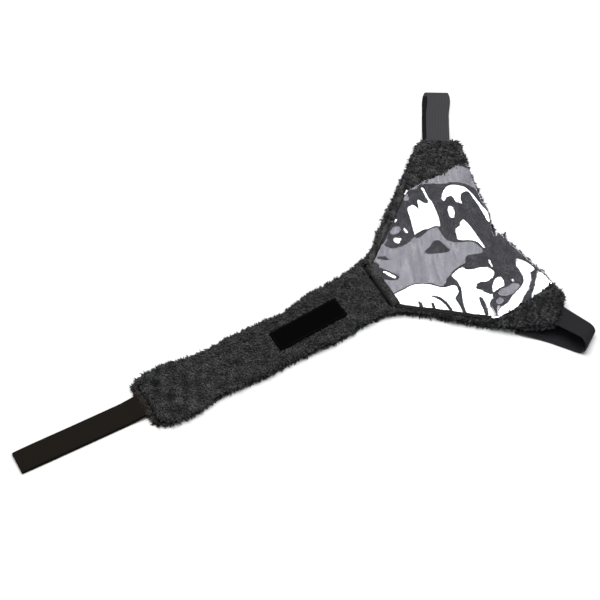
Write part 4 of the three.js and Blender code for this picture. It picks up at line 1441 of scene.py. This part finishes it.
def open_loop(reach, radius, slip, return_turn, return_length):
    """It comes out of the lifted ear, bends over at its reach and runs back under the ear."""
    along, across = axes(-LOOP_ANGLE)
    return_along, return_across = axes(-LOOP_ANGLE + return_turn)
    start = np.array([EAR_END[0], -EAR_END[1], 0])

    def out(s, share):
        return start + along * s + across * share * slip

    def tilted(side, share):
        """The upper run is twisted: its near edge stands up."""
        return side * math.cos(TWIST * share) + UPRIGHT * math.sin(TWIST * share)

    def at(point, z):
        laid = lay_out(point[0], point[1])
        return np.array([float(laid[0]), float(laid[1]), z])

    def seam(point):
        return float(lift(point[0], point[1])) + SEAM_MIDDLE

    path = []
    for s in (-SEWN_LENGTH, -13, -6, 0):
        point = out(s, UP_SHARE)
        path.append((at(point, seam(point)), tilted(across, max(0, s + 8) / 16)))
    top, leaves = REST + 2 * radius - TOP_DROP, seam(start)
    for share in (0.25, 0.5, 0.75, 1):
        point = out(reach * share, UP_SHARE + (BEND_SHARE - UP_SHARE) * share)
        z = leaves + (top - leaves) * float(smooth(share))
        path.append((at(point, z), tilted(across, 0.5 + share / 2)))
    for i in range(1, BEND_STEPS):
        share = i / BEND_STEPS
        a = share * math.pi
        point = out(reach + radius * math.sin(a), BEND_SHARE + (DOWN_SHARE - BEND_SHARE) * share)
        z = REST + (top - REST) / 2 * (1 + math.cos(a))
        side = across + (return_across - across) * share
        path.append((at(point, z), tilted(side, 1 - share)))
    turned = out(reach, DOWN_SHARE)
    for i in range(RETURN_STEPS + 1):
        share = i / RETURN_STEPS
        point = turned - return_along * return_length * share
        under = float(lift(point[0], point[1])) - SEAM_GAP - WEB_THICKNESS / 2 - UNDER_EAR
        raised = max(0.0, under - REST) * float(ramp(share, *EAR_REACHED))
        path.append((at(point, REST + raised), return_across))
    return path


# %% A smooth curve through a path
SPACING = 1.5


def finer(path):
    """The same path with evenly spaced points on a smooth curve through it."""
    rows = np.array([np.concatenate([point, unit(across)]) for point, across in path])
    far = distances_along(rows[:, :3])
    wanted = np.linspace(0, far[-1], int(far[-1] / SPACING) + 2)
    steps = np.diff(rows, axis=0) / np.diff(far)[:, None]
    before, after = steps[:-1], steps[1:]
    turning = before * after <= 0
    even = 2 * before * after / np.where(turning, 1, before + after)
    slopes = np.concatenate([steps[:1], np.where(turning, 0, even), steps[-1:]])
    k = np.clip(np.searchsorted(far, wanted, side="right") - 1, 0, len(far) - 2)
    span = (far[k + 1] - far[k])[:, None]
    t = ((wanted - far[k])[:, None]) / span
    curve = rows[k] * (2 * t**3 - 3 * t**2 + 1) + slopes[k] * span * (t**3 - 2 * t**2 + t)
    curve += rows[k + 1] * (3 * t**2 - 2 * t**3) + slopes[k + 1] * span * (t**3 - t**2)
    return [(row[:3], row[3:]) for row in curve]


# %% The three loops
tail_end = lay_out(STRAP_TAIL_X, 0.0)
tail_path = flat_loop(tail_end, turn=math.radians(178.5), reach=143, slip=0.8)
left_path = flat_loop(EAR_END, turn=LOOP_ANGLE, reach=67.5, slip=4.5)
right_path = open_loop(reach=28.0, radius=7.5, slip=16.0,
                       return_turn=math.radians(8), return_length=76.0)
loops = [
    ("tail_webbing", "tail_elastic", tail_path, tail_webbing),
    ("left_webbing", "left_handlebar_elastic", left_path, bar_webbing),
    ("right_webbing", "right_handlebar_elastic", right_path, painted_shade_webbing),
]
for name, node_name, path, material in loops:
    band = strip_mesh(name, finer(path), WEB_WIDTH, WEB_THICKNESS, material, columns=30, crown=0.0)
    hand_over(band, "elastic_webbing", node_name)
